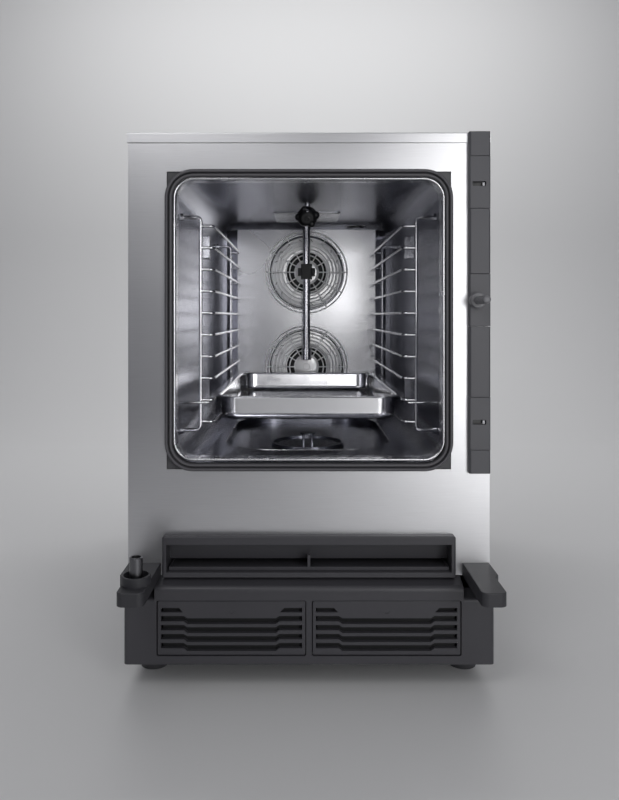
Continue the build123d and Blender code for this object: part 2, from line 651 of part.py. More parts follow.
def rack_wires(side):
    """Two posts, ten rungs and the low stop bar of one side rack."""
    wall = side * (CAVITY_HALF - WIRE_END_GAP)
    wires = []
    for depth in (RACK_Y0, RACK_Y1):
        wires.append(bent_wire([(wall, at(depth), RACK_TOP_Z), (side * POST_X, at(depth), RACK_TOP_Z),
                                (side * POST_X, at(depth), RACK_LOW_Z), (wall, at(depth), RACK_LOW_Z)],
                               POST_R, POST_BEND))
    for index in range(RUNG_COUNT):
        z = RUNG_TOP_Z - RUNG_PITCH * index
        wires.append(bent_wire([(side * POST_X, at(RACK_Y0), z), (side * RUNG_X, at(RACK_Y0), z),
                                (side * RUNG_X, at(RACK_Y1), z), (side * POST_X, at(RACK_Y1), z)],
                               RUNG_R, RUNG_BEND))
    stop_y = at(RACK_Y0 - POST_R - STOP_R + 0.6)
    wires.append(bent_wire([(wall, stop_y, STOP_Z), (side * STOP_IN, stop_y, STOP_Z)], STOP_R, 0))
    return wires


left_wires = rack_wires(-1)
right_wires = rack_wires(1)

with BuildPart() as left_rack:
    add(left_wires)
save(left_rack, "left_rack")

with BuildPart() as right_rack:
    add(right_wires)
save(right_rack, "right_rack")

CLIP_DEPTH, CLIP_W, CLIP_H, CLIP_PROUD = 430.0, 24.0, 48.0, 8.0

with BuildPart() as rack_brackets:
    for side in (-1, 1):
        wall = side * CAVITY_HALF
        for depth in (RACK_Y0, RACK_Y1):              # cups that take the rack's wire ends
            for z in (RACK_TOP_Z, RACK_LOW_Z):
                with BuildSketch(side_plane(wall - side * WIRE_END_GAP)):
                    with Locations((at(depth), z)):
                        Circle(6.5)
                        Circle(POST_R + 0.1, mode=Mode.SUBTRACT)
                extrude(amount=-side * 5)
        for z in (RACK_TOP_Z - 18, RACK_LOW_Z + 34):  # slotted wall brackets
            with BuildSketch(side_plane(wall)):
                with Locations((at(CLIP_DEPTH), z)):
                    RectangleRounded(CLIP_W, CLIP_H, 3)
                    SlotOverall(CLIP_H - 16, 8, rotation=90, mode=Mode.SUBTRACT)
            extrude(amount=-side * CLIP_PROUD)
save(rack_brackets, "rack_brackets")

PAN_RIM_Z = RUNG_TOP_Z - RUNG_PITCH * (PAN_RUNG - 1) + RUNG_R + 0.3
PAN_RIM, PAN_WALL, PAN_CORNER = 14.0, 1.0, 34.0
PAN_Y = at(PAN_FRONT + PAN_L / 2)

PAN_BODY_W, PAN_BODY_L = PAN_W - 2 * PAN_RIM, PAN_L - 2 * PAN_RIM

with BuildPart() as pan_hollow:                         # what the pan holds, cut out of it
    with BuildSketch(level(PAN_RIM_Z + 0.6)):
        with Locations((0, PAN_Y)):
            RectangleRounded(PAN_BODY_W - 2 * PAN_WALL, PAN_BODY_L - 2 * PAN_WALL, PAN_CORNER - PAN_WALL)
    extrude(amount=-(PAN_DEEP - PAN_WALL), taper=4)
    fillet(pan_hollow.edges().group_by(Axis.Z)[0], radius=10 - PAN_WALL)

with BuildPart() as gn_pan:
    with BuildSketch(level(PAN_RIM_Z + 0.6)):
        with Locations((0, PAN_Y)):
            RectangleRounded(PAN_BODY_W, PAN_BODY_L, PAN_CORNER)
    extrude(amount=-PAN_DEEP, taper=4)
    fillet(gn_pan.edges().group_by(Axis.Z)[0], radius=10)
    with BuildSketch(level(PAN_RIM_Z)):
        with Locations((0, PAN_Y)):
            RectangleRounded(PAN_W, PAN_L, 20)
            RectangleRounded(PAN_BODY_W - 1, PAN_BODY_L - 1, PAN_CORNER - 0.5, mode=Mode.SUBTRACT)
    extrude(amount=1.2)
    add(pan_hollow.part, mode=Mode.SUBTRACT)
save(gn_pan, "gn_pan")

# --- steam tube, wash nozzle, ceiling and drain -----------------------------------------------
TUBE_DEPTH, TUBE_R, TUBE_LOW_Z, NOZZLE_LOW_Z = 626.0, 8.5, 468.0, 441.0

with BuildPart() as steam_tube:
    with BuildSketch(level(TUBE_LOW_Z)):
        with Locations((0, at(TUBE_DEPTH))):
            Circle(TUBE_R)
            Circle(TUBE_R - 1.2, mode=Mode.SUBTRACT)
    extrude(amount=CEILING_Z - TUBE_LOW_Z)
save(steam_tube, "steam_tube")

with BuildPart() as steam_nozzle:
    with BuildSketch(level(NOZZLE_LOW_Z)):
        with Locations((0, at(TUBE_DEPTH))):
            Circle(11.5)
            Circle(TUBE_R - 2.5, mode=Mode.SUBTRACT)
    extrude(amount=TUBE_LOW_Z - NOZZLE_LOW_Z)
    fillet(steam_nozzle.edges().group_by(Axis.Z)[0].sort_by(SortBy.RADIUS)[-1], radius=2)
save(steam_nozzle, "steam_nozzle")

CLAMP_Z = FAN_Z[1]

with BuildPart() as tube_clamp:
    with BuildSketch(level(CLAMP_Z - 17.5)):
        with Locations((0, at(TUBE_DEPTH))):
            RectangleRounded(26, 26, 3)
    extrude(amount=35)
    with BuildSketch(level(CLAMP_Z - 10)):
        with Locations((0, at(TUBE_DEPTH))):
            RectangleRounded(40, 18, 3)
    extrude(amount=18)
    with BuildSketch(level(CLAMP_Z - 17.5)):
        with Locations((0, at(TUBE_DEPTH))):
            Circle(TUBE_R + 0.05)
    extrude(amount=35, mode=Mode.SUBTRACT)
save(tube_clamp, "tube_clamp")

BALL_Z, BALL_R = 737.6, 20.5
STEM_LOW_Z, STEM_TOP_Z = BALL_Z + 4, 794.0

with BuildPart() as wash_stem:
    with BuildSketch(level(STEM_LOW_Z)):
        with Locations((0, at(STEM_DEPTH))):
            Circle(STEM_R)
    extrude(amount=STEM_TOP_Z - STEM_LOW_Z)
    with BuildSketch(level(WOOL_Z1)):
        with Locations((0, at(STEM_DEPTH))):
            RegularPolygon(11, 6)
    extrude(amount=STEM_TOP_Z - WOOL_Z1 + 2)
save(wash_stem, "wash_stem")

with BuildPart() as wash_ball:
    with Locations((0, at(STEM_DEPTH), BALL_Z)):
        Sphere(BALL_R)
    with BuildSketch(level(BALL_Z - BALL_R + 2)):
        with Locations((0, at(STEM_DEPTH))):
            Circle(BALL_R)
    extrude(amount=-4, mode=Mode.SUBTRACT)
    for turn in (30, 150, 270):                        # three flat nozzle faces with outlets
        out = (cos(radians(turn)), sin(radians(turn)), -0.35)
        face_at = (out[0] * 17.5, at(STEM_DEPTH) + out[1] * 17.5, BALL_Z - 0.35 * 17.5)
        with BuildSketch(Plane(origin=face_at, z_dir=out)):
            Circle(15)
        extrude(amount=8, mode=Mode.SUBTRACT)
        with BuildSketch(Plane(origin=face_at, z_dir=out)):
            Circle(4.5)
            Circle(2.0, mode=Mode.SUBTRACT)
        extrude(amount=2)
    with BuildSketch(level(STEM_LOW_Z - 0.5)):
        with Locations((0, at(STEM_DEPTH))):
            Circle(STEM_R + FIT)
    extrude(amount=BALL_R, mode=Mode.SUBTRACT)
save(wash_ball, "wash_ball")

with BuildPart() as ceiling_plate:
    plate_y0, plate_y1, plate_half = 447.0, 596.0, 70.0
    plate_y = at((plate_y0 + plate_y1) / 2)
    with BuildSketch(level(CEILING_Z - 1.5)):
        with Locations((0, plate_y)):
            RectangleRounded(2 * plate_half, plate_y1 - plate_y0, 6)
    extrude(amount=1.5)
    with BuildSketch(level(CEILING_Z - 3.2)):
        with Locations((0, plate_y)):
            with GridLocations(2 * plate_half - 16, plate_y1 - plate_y0 - 16, 2, 2):
                Circle(3.5)
    extrude(amount=1.7)
save(ceiling_plate, "ceiling_plate")

STRAINER_R, STRAINER_LIFT_GAP = 66.0, 0.3

with BuildPart() as drain_strainer:
    disc_z = SUMP_FLOOR + STRAINER_LIFT_GAP
    with BuildSketch(level(disc_z)):
        with Locations((0, at(DRAIN_Y))):
            Circle(STRAINER_R)
            for ring_r, holes in ((22, 12), (33, 18), (44, 24), (54, 30)):
                with PolarLocations(ring_r, holes):
                    Circle(2.2, mode=Mode.SUBTRACT)
    extrude(amount=2)
    with BuildSketch(level(disc_z)):                    # raised rim
        with Locations((0, at(DRAIN_Y))):
            Circle(STRAINER_R)
            Circle(STRAINER_R - 4, mode=Mode.SUBTRACT)
    extrude(amount=5)
    with BuildSketch(level(disc_z)):                    # collar that hangs in the drain
        with Locations((0, at(DRAIN_Y))):
            Circle(DRAIN_R - 1)
            Circle(DRAIN_R - 2.5, mode=Mode.SUBTRACT)
    extrude(amount=-12)
    with BuildSketch(level(disc_z + 1)):                # lifting knob on four legs
        with Locations((0, at(DRAIN_Y))):
            with PolarLocations(11, 4, start_angle=45):
                Circle(2.5)
    extrude(amount=19)
    with BuildSketch(level(disc_z + 18)):
        with Locations((0, at(DRAIN_Y))):
            Circle(14)
    extrude(amount=3)
save(drain_strainer, "drain_strainer")

DRAIN_BEND = 45.0


COLLAR_T = 4.0            # collar of the drain outlet against the rear panel


def drain_run(radius, start_z):
    """Round run from the sump down and out through the rear panel."""
    with BuildPart() as run:
        with BuildLine() as path:
            FilletPolyline((0, at(DRAIN_Y), start_z), (0, at(DRAIN_Y), OUTLET_Z),
                           (0, at(BODY_D + REAR_REACH), OUTLET_Z), radius=DRAIN_BEND)
        with BuildSketch(Plane(origin=path.line @ 0, z_dir=path.line % 0)):
            Circle(radius)
        sweep()
    return run.part


pipe_outer = drain_run(OUTLET_R - 1, SUMP_FLOOR - CAVITY_T)
pipe_bore = drain_run(OUTLET_R - 2.5, SUMP_FLOOR - CAVITY_T)

with BuildPart() as drain_pipe:
    add(pipe_outer)
    for start, end, radius in ((0, COLLAR_T, OUTLET_R + 7), (COLLAR_T, REAR_REACH, OUTLET_R)):
        with BuildSketch(upright(BODY_D + start)):
            with Locations((OUTLET_X, OUTLET_Z)):
                Circle(radius)
        extrude(amount=start - end)
    add(pipe_bore, mode=Mode.SUBTRACT)
save(drain_pipe, "drain_pipe")

# --- lock column and striker --------------------------------------------------------------
COLUMN_NAMES = ("column_cap_top", "latch_block_upper", "column_cover_upper", "striker_block",
                "column_cover_lower", "latch_block_lower", "column_cap_bottom")
LATCH_SLOTS = {"latch_block_upper": 736.8, "latch_block_lower": 386.8}
LATCH_SLOT_X, LATCH_SLOT_W, LATCH_SLOT_H = 250.0, 20.0, 7.0


def column_segment(name, z_top, z_low):
    """One cover or block of the lock column; latch blocks have a slot."""
    is_block = "block" in name
    with BuildPart() as segment:
        with BuildSketch(upright(-COLUMN_PROUD)):
            with Locations(((COLUMN_X0 + COLUMN_X1) / 2, (z_top + z_low) / 2)):
                Rectangle(COLUMN_X1 - COLUMN_X0, z_top - z_low - GAP)
        extrude(amount=-COLUMN_PROUD)
        front_edges = segment.edges().filter_by(Axis.Z).group_by(Axis.Y)[0]
        chamfer(front_edges, length=1.6 if is_block else 2.4)
        fillet(segment.edges().filter_by(Axis.X).group_by(Axis.Y)[0], radius=0.5)
        if name in LATCH_SLOTS:
            with BuildSketch(upright(-COLUMN_PROUD)):
                with Locations((LATCH_SLOT_X, LATCH_SLOTS[name])):
                    RectangleRounded(LATCH_SLOT_W, LATCH_SLOT_H, 1.5)
            extrude(amount=-COLUMN_PROUD, mode=Mode.SUBTRACT)
    return segment


for name, z_top, z_low in zip(COLUMN_NAMES, COLUMN_SEAMS[:-1], COLUMN_SEAMS[1:]):
    save(column_segment(name, z_top, z_low), name)

with BuildPart() as striker_pin:
    with BuildSketch(upright(-COLUMN_PROUD)):
        with Locations((STRIKER_X, STRIKER_Z)):
            Circle(11.5)
    extrude(amount=12)
    fillet(striker_pin.faces().sort_by(Axis.Y)[0].edges(), radius=2)
    with BuildSketch(upright(-COLUMN_PROUD - 11)):
        with Locations((STRIKER_X, STRIKER_Z)):
            Circle(STRIKER_R)
    extrude(amount=STRIKER_REACH - COLUMN_PROUD - 11)
    fillet(striker_pin.faces().sort_by(Axis.Y)[0].edges(), radius=4)
save(striker_pin, "striker_pin")

# --- door brackets ------------------------------------------------------------------------
BRACKET_NOSE_R = 10.0


def bracket_outline(side, inner, outer_front, outer_rear):
    """Corners of a bracket seen from above, wider where it meets the front panel."""
    return [(side * inner, at(0)), (side * outer_rear, at(0)), (side * outer_rear, at(-50)),
            (side * outer_front, at(-62)), (side * outer_front, at(-BRACKET_REACH)),
            (side * inner, at(-BRACKET_REACH))]


with BuildPart() as support_bracket:
    with BuildSketch(level(BRACKET_Z0)):
        with BuildLine():
            Polyline(*bracket_outline(1, 227, 261, 267), close=True)
        make_face()
    extrude(amount=BRACKET_Z1 - BRACKET_Z0)
    fillet(support_bracket.edges().filter_by(Axis.Z).group_by(Axis.Y)[0], radius=BRACKET_NOSE_R)
    fillet(support_bracket.faces().sort_by(Axis.Z)[-1].edges().sort_by(Axis.Y)[:-1], radius=1.5)
save(support_bracket, "support_bracket")

PIN_R, PIN_TOP_Z = 9.0, 214.0
SHANK_R, SHANK_TOP = 10.5, 4.5     # thicker foot of the pin, up to this far above the bracket
BUSH_R, BUSH_TOP_Z = 20.0, 190.0

with BuildPart() as hinge_bracket:
    with BuildSketch(level(BRACKET_Z0)):
        with BuildLine():
            Polyline(*bracket_outline(-1, 219, 256, 267), close=True)
        make_face()
    extrude(amount=BRACKET_Z1 - BRACKET_Z0)
    fillet(hinge_bracket.edges().filter_by(Axis.Z).group_by(Axis.Y)[0], radius=BRACKET_NOSE_R)
    fillet(hinge_bracket.faces().sort_by(Axis.Z)[-1].edges().sort_by(Axis.Y)[:-1], radius=1.5)
    with BuildSketch(level(BRACKET_Z0)):
        with Locations((HINGE_X, at(HINGE_DEPTH))):
            Circle(SHANK_R + 0.05)
    extrude(amount=BRACKET_Z1 - BRACKET_Z0, mode=Mode.SUBTRACT)
save(hinge_bracket, "hinge_bracket")

with BuildPart() as hinge_bush:
    with BuildSketch(level(BRACKET_Z1)):
        with Locations((HINGE_X, at(HINGE_DEPTH))):
            Circle(BUSH_R)
    extrude(amount=BUSH_TOP_Z - BRACKET_Z1)
    fillet(hinge_bush.edges().group_by(Axis.Z)[-1], radius=1.0)
    with BuildSketch(level(BRACKET_Z1 + 3)):
        with Locations((HINGE_X, at(HINGE_DEPTH))):
            Circle(BUSH_R - 3)
    extrude(amount=BUSH_TOP_Z - BRACKET_Z1, mode=Mode.SUBTRACT)
    with BuildSketch(level(BRACKET_Z1)):
        with Locations((HINGE_X, at(HINGE_DEPTH))):
            Circle(SHANK_R + 0.05)
    extrude(amount=4, mode=Mode.SUBTRACT)
save(hinge_bush, "hinge_bush")

with BuildPart() as hinge_pin:
    with BuildSketch(level(BRACKET_Z0 + 1)):
        with Locations((HINGE_X, at(HINGE_DEPTH))):
            Circle(SHANK_R)
    extrude(amount=BRACKET_Z1 + SHANK_TOP - BRACKET_Z0 - 1)
    with BuildSketch(level(BRACKET_Z1 + SHANK_TOP)):
        with Locations((HINGE_X, at(HINGE_DEPTH))):
            Circle(PIN_R)
    extrude(amount=PIN_TOP_Z - BRACKET_Z1 - SHANK_TOP)
    chamfer(hinge_pin.edges().group_by(Axis.Z)[-1], length=0.8)
    with BuildSketch(level(PIN_TOP_Z)):
        with Locations((HINGE_X, at(HINGE_DEPTH))):
            Circle(PIN_R - 2.5)
    extrude(amount=-28, mode=Mode.SUBTRACT)
save(hinge_pin, "hinge_pin")

# --- drip housing under the door opening ----------------------------------------------------
SLOT_HALF, SLOT_Z0, SLOT_Z1 = 208.5, 168.0, 208.6
BAFFLE_EDGE_Z = 178.0      # the tray runs under the inner back plate, which ends here

with BuildPart() as drip_housing:
    with BuildSketch(upright(-HOUSING_PROUD)):
        window(HOUSING_HALF, HOUSING_Z0, HOUSING_Z1)
    extrude(amount=-HOUSING_PROUD)
    fillet(drip_housing.faces().sort_by(Axis.Y)[0].edges().filter_by(Axis.X).sort_by(Axis.Z)[-1], radius=2)
    fillet(drip_housing.edges().filter_by(Axis.Y).group_by(Axis.Z)[-1], radius=4)
    with BuildSketch(upright(0)):                      # body behind the front panel
        window(HOUSING_HALF - 4.4, HOUSING_Z0 + 4.4, HOUSING_Z1 - 4.4)
    extrude(amount=-HOUSING_DEEP)
    with BuildSketch(side_plane(-SLOT_HALF)):          # chamber open to the front, low behind
        with BuildLine():
            Polyline((at(-HOUSING_PROUD - 1), SLOT_Z0), (at(HOUSING_DEEP - 4), SLOT_Z0),
                     (at(HOUSING_DEEP - 4), BAFFLE_EDGE_Z), (at(19), BAFFLE_EDGE_Z), (at(16), SLOT_Z1 - 1),
                     (at(-HOUSING_PROUD - 1), SLOT_Z1), close=True)
        make_face()
    extrude(amount=2 * SLOT_HALF, mode=Mode.SUBTRACT)
save(drip_housing, "drip_housing")

TRAY_HALF, TRAY_FRONT, TRAY_REAR = 206.0, -6.0, HOUSING_DEEP - 6.0
TRAY_Z0 = SLOT_Z0 + 0.4

with BuildPart() as drip_tray:
    tray_y = at((TRAY_FRONT + TRAY_REAR) / 2)
    with BuildSketch(level(TRAY_Z0)):
        with Locations((0, tray_y)):
            Rectangle(2 * TRAY_HALF, TRAY_REAR - TRAY_FRONT)
    extrude(amount=5)
    with BuildSketch(level(TRAY_Z0 + 1.5)):
        with Locations((0, tray_y)):
            Rectangle(2 * TRAY_HALF - 4, TRAY_REAR - TRAY_FRONT - 4)
    extrude(amount=8, mode=Mode.SUBTRACT)
    with BuildSketch(side_plane(-2)):                  # divider in the middle
        with BuildLine():
            Polyline((at(TRAY_FRONT), TRAY_Z0), (at(TRAY_REAR), TRAY_Z0), (at(TRAY_REAR), 175),
                     (at(13), 175), (at(11), 187), (at(TRAY_FRONT), 191), close=True)
        make_face()
    extrude(amount=4)
save(drip_tray, "drip_tray")

# --- electrics, water and exhaust -------------------------------------------------------------
BOX_X0, BOX_X1, BOX_Y0, BOX_Y1, BOX_Z0, BOX_Z1 = 50.0, 240.0, 330.0, 700.0, 163.0, 275.0

with BuildPart() as control_box:
    with BuildSketch(level(BOX_Z0)):
        with Locations(((BOX_X0 + BOX_X1) / 2, at((BOX_Y0 + BOX_Y1) / 2))):
            RectangleRounded(BOX_X1 - BOX_X0, BOX_Y1 - BOX_Y0, 4)
    extrude(amount=BOX_Z1 - BOX_Z0)
    with BuildSketch(level(BOX_Z1)):
        with Locations(((BOX_X0 + BOX_X1) / 2, at((BOX_Y0 + BOX_Y1) / 2))):
            with GridLocations(0, 26, 1, 12):
                Rectangle(BOX_X1 - BOX_X0 - 40, 4)
    extrude(amount=10)
save(control_box, "control_box")

INLET_REACH, GLAND_REACH = 28.0, 30.0

with BuildPart() as water_inlet:
    with BuildSketch(upright(BODY_D - 12)):
        with Locations((INLET_X, INLET_Z)):
            Circle(INLET_R)
    extrude(amount=-(12 + INLET_REACH))
    with BuildSketch(upright(BODY_D)):
        with Locations((INLET_X, INLET_Z)):
            RegularPolygon(18, 6)
    extrude(amount=-7)
    with BuildSketch(upright(BODY_D - 62)):
        with Locations((INLET_X, INLET_Z)):
            RectangleRounded(44, 44, 6)
    extrude(amount=-54)
    with BuildSketch(level(INLET_Z + 20)):             # valve coil
        with Locations((INLET_X, at(BODY_D - 35))):
            RectangleRounded(32, 36, 4)
    extrude(amount=36)
    with BuildSketch(upright(BODY_D - 40)):
        with Locations((INLET_X, INLET_Z)):
            Circle(8)
    extrude(amount=-(40 + INLET_REACH), mode=Mode.SUBTRACT)
save(water_inlet, "water_inlet")

with BuildPart() as cable_gland:
    with BuildSketch(upright(BODY_D - 14)):
        with Locations((GLAND_X, GLAND_Z)):
            Circle(GLAND_R)
    extrude(amount=-20)
    with BuildSketch(upright(BODY_D)):
        with Locations((GLAND_X, GLAND_Z)):
            RegularPolygon(17, 6)
    extrude(amount=-9)
    with BuildSketch(upright(BODY_D + 9)):
        with Locations((GLAND_X, GLAND_Z)):
            Circle(15)
    extrude(amount=-(GLAND_REACH - 9))
    fillet(cable_gland.faces().sort_by(Axis.Y)[-1].edges(), radius=4)
    with BuildSketch(upright(BODY_D - 14)):
        with Locations((GLAND_X, GLAND_Z)):
            Circle(6.5)
    extrude(amount=-(14 + GLAND_REACH), mode=Mode.SUBTRACT)
save(cable_gland, "cable_gland")

FLAP_Z, FLAP_ROD_R = 798.0, 3.0
FLANGE_T = 3.0
ACTUATOR_X0, ACTUATOR_X1 = 152.0, 192.0

with BuildPart() as exhaust_chimney:
    with BuildSketch(level(CEILING_Z + CAVITY_T)):
        with Locations((EXHAUST_X, at(EXHAUST_DEPTH))):
            Circle(EXHAUST_R + 1)
            Circle(EXHAUST_R - EXHAUST_WALL, mode=Mode.SUBTRACT)
    extrude(amount=TOP_Z - CEILING_Z - CAVITY_T)
    with BuildSketch(level(TOP_Z)):
        with Locations((EXHAUST_X, at(EXHAUST_DEPTH))):
            Circle(EXHAUST_R + 11)
            Circle(EXHAUST_R - EXHAUST_WALL, mode=Mode.SUBTRACT)
    extrude(amount=FLANGE_T)
    with BuildSketch(level(TOP_Z + FLANGE_T)):
        with Locations((EXHAUST_X, at(EXHAUST_DEPTH))):
            Circle(EXHAUST_R)
            Circle(EXHAUST_R - EXHAUST_WALL, mode=Mode.SUBTRACT)
    extrude(amount=EXHAUST_TOP - TOP_Z - FLANGE_T)
    with BuildSketch(side_plane(EXHAUST_X - EXHAUST_R - 2)):
        with Locations((at(EXHAUST_DEPTH), FLAP_Z)):
            Circle(FLAP_ROD_R + FIT)
    extrude(amount=2 * EXHAUST_R + 4, mode=Mode.SUBTRACT)
save(exhaust_chimney, "exhaust_chimney")

with BuildPart() as vent_flap:
    with BuildSketch(level(FLAP_Z - 0.75)):
        with Locations((EXHAUST_X, at(EXHAUST_DEPTH))):
            Circle(EXHAUST_R - EXHAUST_WALL - 0.8)
    extrude(amount=1.5)
    with BuildSketch(side_plane(EXHAUST_X - EXHAUST_R - 2)):
        with Locations((at(EXHAUST_DEPTH), FLAP_Z)):
            Circle(FLAP_ROD_R)
    extrude(amount=ACTUATOR_X0 + 8 - EXHAUST_X + EXHAUST_R + 2)
save(vent_flap, "vent_flap")

with BuildPart() as flap_actuator:
    with BuildSketch(level(WOOL_Z1)):
        with Locations(((ACTUATOR_X0 + ACTUATOR_X1) / 2, at(EXHAUST_DEPTH))):
            RectangleRounded(ACTUATOR_X1 - ACTUATOR_X0, 44, 4)
    extrude(amount=19)
    with BuildSketch(side_plane(ACTUATOR_X0)):
        with Locations((at(EXHAUST_DEPTH), FLAP_Z)):
            Circle(FLAP_ROD_R + FIT)
    extrude(amount=9, mode=Mode.SUBTRACT)
save(flap_actuator, "flap_actuator")

with BuildPart() as cover_screws:
    with BuildSketch(upright(BODY_D)):
        for x in (-255, -85, 85, 255):
            with Locations((x, BASE_TOP + 12), (x, SEAM_Z - 14)):
                Circle(4.5)
    extrude(amount=-2.5)
    chamfer(cover_screws.edges().group_by(Axis.Y)[-1], length=0.8)
save(cover_screws, "cover_screws")
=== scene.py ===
"""Looks of the combi steamer oven: camera, light, materials and the finer Blender pieces."""
import json
import math

import bmesh
import bpy
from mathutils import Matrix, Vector


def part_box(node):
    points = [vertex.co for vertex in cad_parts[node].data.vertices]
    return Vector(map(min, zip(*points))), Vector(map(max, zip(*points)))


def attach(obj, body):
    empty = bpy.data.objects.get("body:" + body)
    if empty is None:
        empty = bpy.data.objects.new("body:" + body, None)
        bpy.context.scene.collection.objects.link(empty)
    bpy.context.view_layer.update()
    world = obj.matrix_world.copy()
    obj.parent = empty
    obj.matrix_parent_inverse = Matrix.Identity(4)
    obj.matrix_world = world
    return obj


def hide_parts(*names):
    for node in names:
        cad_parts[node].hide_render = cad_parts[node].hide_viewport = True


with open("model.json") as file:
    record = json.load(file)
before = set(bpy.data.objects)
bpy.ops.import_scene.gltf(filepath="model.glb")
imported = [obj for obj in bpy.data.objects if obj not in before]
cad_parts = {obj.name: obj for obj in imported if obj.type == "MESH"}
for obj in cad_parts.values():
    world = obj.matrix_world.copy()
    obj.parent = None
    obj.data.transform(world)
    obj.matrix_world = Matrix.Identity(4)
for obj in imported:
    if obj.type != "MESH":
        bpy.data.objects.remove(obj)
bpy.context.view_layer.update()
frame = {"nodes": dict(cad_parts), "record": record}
NODES = frame["nodes"]
MM = 0.001

# --- places taken from the frame ------------------------------------------------------------
FRONT_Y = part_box("front_panel")[0].y       # the front panel's face
FLOOR_Z, CEILING_Z = 0.320, 0.760          # the cavity's floor and ceiling


def centre(node):
    """Middle of a CAD node's box."""
    low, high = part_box(node)
    return (low + high) / 2


# --- camera, floor and light ------------------------------------------------------------------
CAMERA_BACK, CAMERA_EYE, CAMERA_X = 1.088, 0.5414, -0.0095
FOCAL_SHARE = 0.919                        # focal length as a share of the picture's height
SENSOR = 36.0
SHIFT_SIDE, SHIFT_UP = 0.0088, -0.104      # lens shift as shares of the picture's height


def make_camera():
    """Level camera in front of the opening, with a shifted lens."""
    data = bpy.data.cameras.new("camera")
    data.sensor_width = SENSOR
    data.lens = SENSOR * FOCAL_SHARE
    data.shift_y = SHIFT_UP
    data.shift_x = SHIFT_SIDE
    data.clip_end = 20
    camera = bpy.data.objects.new("camera", data)
    camera.location = (CAMERA_X, FRONT_Y - CAMERA_BACK, CAMERA_EYE)
    camera.rotation_euler = (math.radians(90), 0, 0)
    bpy.context.scene.collection.objects.link(camera)
    bpy.context.scene.camera = camera


def area_light(name, place, aim, size, power):
    """Soft rectangular light at place that looks at aim."""
    data = bpy.data.lights.new(name, "AREA")
    data.shape = "RECTANGLE"
    data.size, data.size_y = size
    data.energy = power
    light = bpy.data.objects.new(name, data)
    light.location = place
    light.rotation_euler = (Vector(aim) - Vector(place)).to_track_quat("-Z", "Y").to_euler()
    bpy.context.scene.collection.objects.link(light)


def make_lights():
    """Key from the right, fill from the upper left, and a lit backdrop."""
    middle = (0, FRONT_Y, 0.5)
    area_light("key", (0.74, FRONT_Y - 1.45, 0.60), middle, (0.45, 1.5), 9.0)
    area_light("fill", (-0.55, FRONT_Y - 1.2, 1.55), (-0.1, FRONT_Y, 0.75), (0.8, 0.5), 5.5)
    area_light("front", (0.24, FRONT_Y - 1.75, 0.72), (0, FRONT_Y + 0.6, 0.55), (0.45, 0.35), 1.5)
    area_light("top", (0.0, 0.0, 2.3), (0, 0, 0.8), (1.6, 1.6), 4)
    area_light("backdrop", (0.0, 1.3, 2.6), (0, 2.4, 0.3), (3.0, 0.5), 34)
    world = bpy.data.worlds.new("studio")
    bpy.context.scene.world = world
    world.use_nodes = True
    background = world.node_tree.nodes["Background"]
    background.inputs["Color"].default_value = (0.80, 0.81, 0.90, 1)
    background.inputs["Strength"].default_value = 0.16
    bpy.context.scene.view_settings.view_transform = "Standard"


def make_floor():
    """Plain pale floor that turns up into a backdrop."""
    reach, back, rise, bend, below = 6.0, 2.6, 4.0, 1.0, 0.0005
    outline = [(-reach, 0.0), (back - bend, 0.0)]
    for step in range(1, 13):
        turn = math.radians(90 * step / 12)
        outline.append((back - bend + bend * math.sin(turn), bend - bend * math.cos(turn)))
    outline.append((back, rise))
    mesh = bpy.data.meshes.new("floor")
    verts = [(x, y, z - below) for y, z in outline for x in (-reach, reach)]
    faces = [(2 * i, 2 * i + 1, 2 * i + 3, 2 * i + 2) for i in range(len(outline) - 1)]
    mesh.from_pydata(verts, [], faces)
    mesh.polygons.foreach_set("use_smooth", [True] * len(faces))
    floor = bpy.data.objects.new("floor", mesh)
    bpy.context.scene.collection.objects.link(floor)
    mesh.materials.append(plain("floor_pale", (0.74, 0.74, 0.74), 0.7))


# --- materials --------------------------------------------------------------------------------
def new_material(name, colour, roughness, metallic=0.0):
    """Material with a Principled shader; returns it with its tree and shader."""
    material = bpy.data.materials.new(name)
    material.use_nodes = True
    tree = material.node_tree
    shader = tree.nodes["Principled BSDF"]
    shader.inputs["Base Color"].default_value = (*colour, 1)
    shader.inputs["Roughness"].default_value = roughness
    shader.inputs["Metallic"].default_value = metallic
    return material, tree, shader


def plain(name, colour, roughness):
    """Stage material only."""
    return new_material(name, colour, roughness)[0]


def noise(tree, scale, detail=3.0, stretch=(1, 1, 1)):
    """Noise in the object's own coordinates, stretched along the axes."""
    coords = tree.nodes.new("ShaderNodeTexCoord")
    mapping = tree.nodes.new("ShaderNodeMapping")
    mapping.inputs["Scale"].default_value = stretch
    texture = tree.nodes.new("ShaderNodeTexNoise")
    texture.inputs["Scale"].default_value = scale
    texture.inputs["Detail"].default_value = detail
    tree.links.new(coords.outputs["Object"], mapping.inputs["Vector"])
    tree.links.new(mapping.outputs["Vector"], texture.inputs["Vector"])
    return texture.outputs["Fac"]


def ramp(tree, factor, low, high, start=0.3, end=0.7):
    """Map a factor to a number between low and high."""
    node = tree.nodes.new("ShaderNodeMapRange")
    node.inputs["From Min"].default_value = start
    node.inputs["From Max"].default_value = end
    node.inputs["To Min"].default_value = low
    node.inputs["To Max"].default_value = high
    tree.links.new(factor, node.inputs["Value"])
    return node.outputs["Result"]


def tint(tree, factor, dark, light):
    """Colour between dark and light."""
    node = tree.nodes.new("ShaderNodeMix")
    node.data_type = "RGBA"
    node.inputs["A"].default_value = (*dark, 1)
    node.inputs["B"].default_value = (*light, 1)
    tree.links.new(factor, node.inputs["Factor"])
    return node.outputs["Result"]


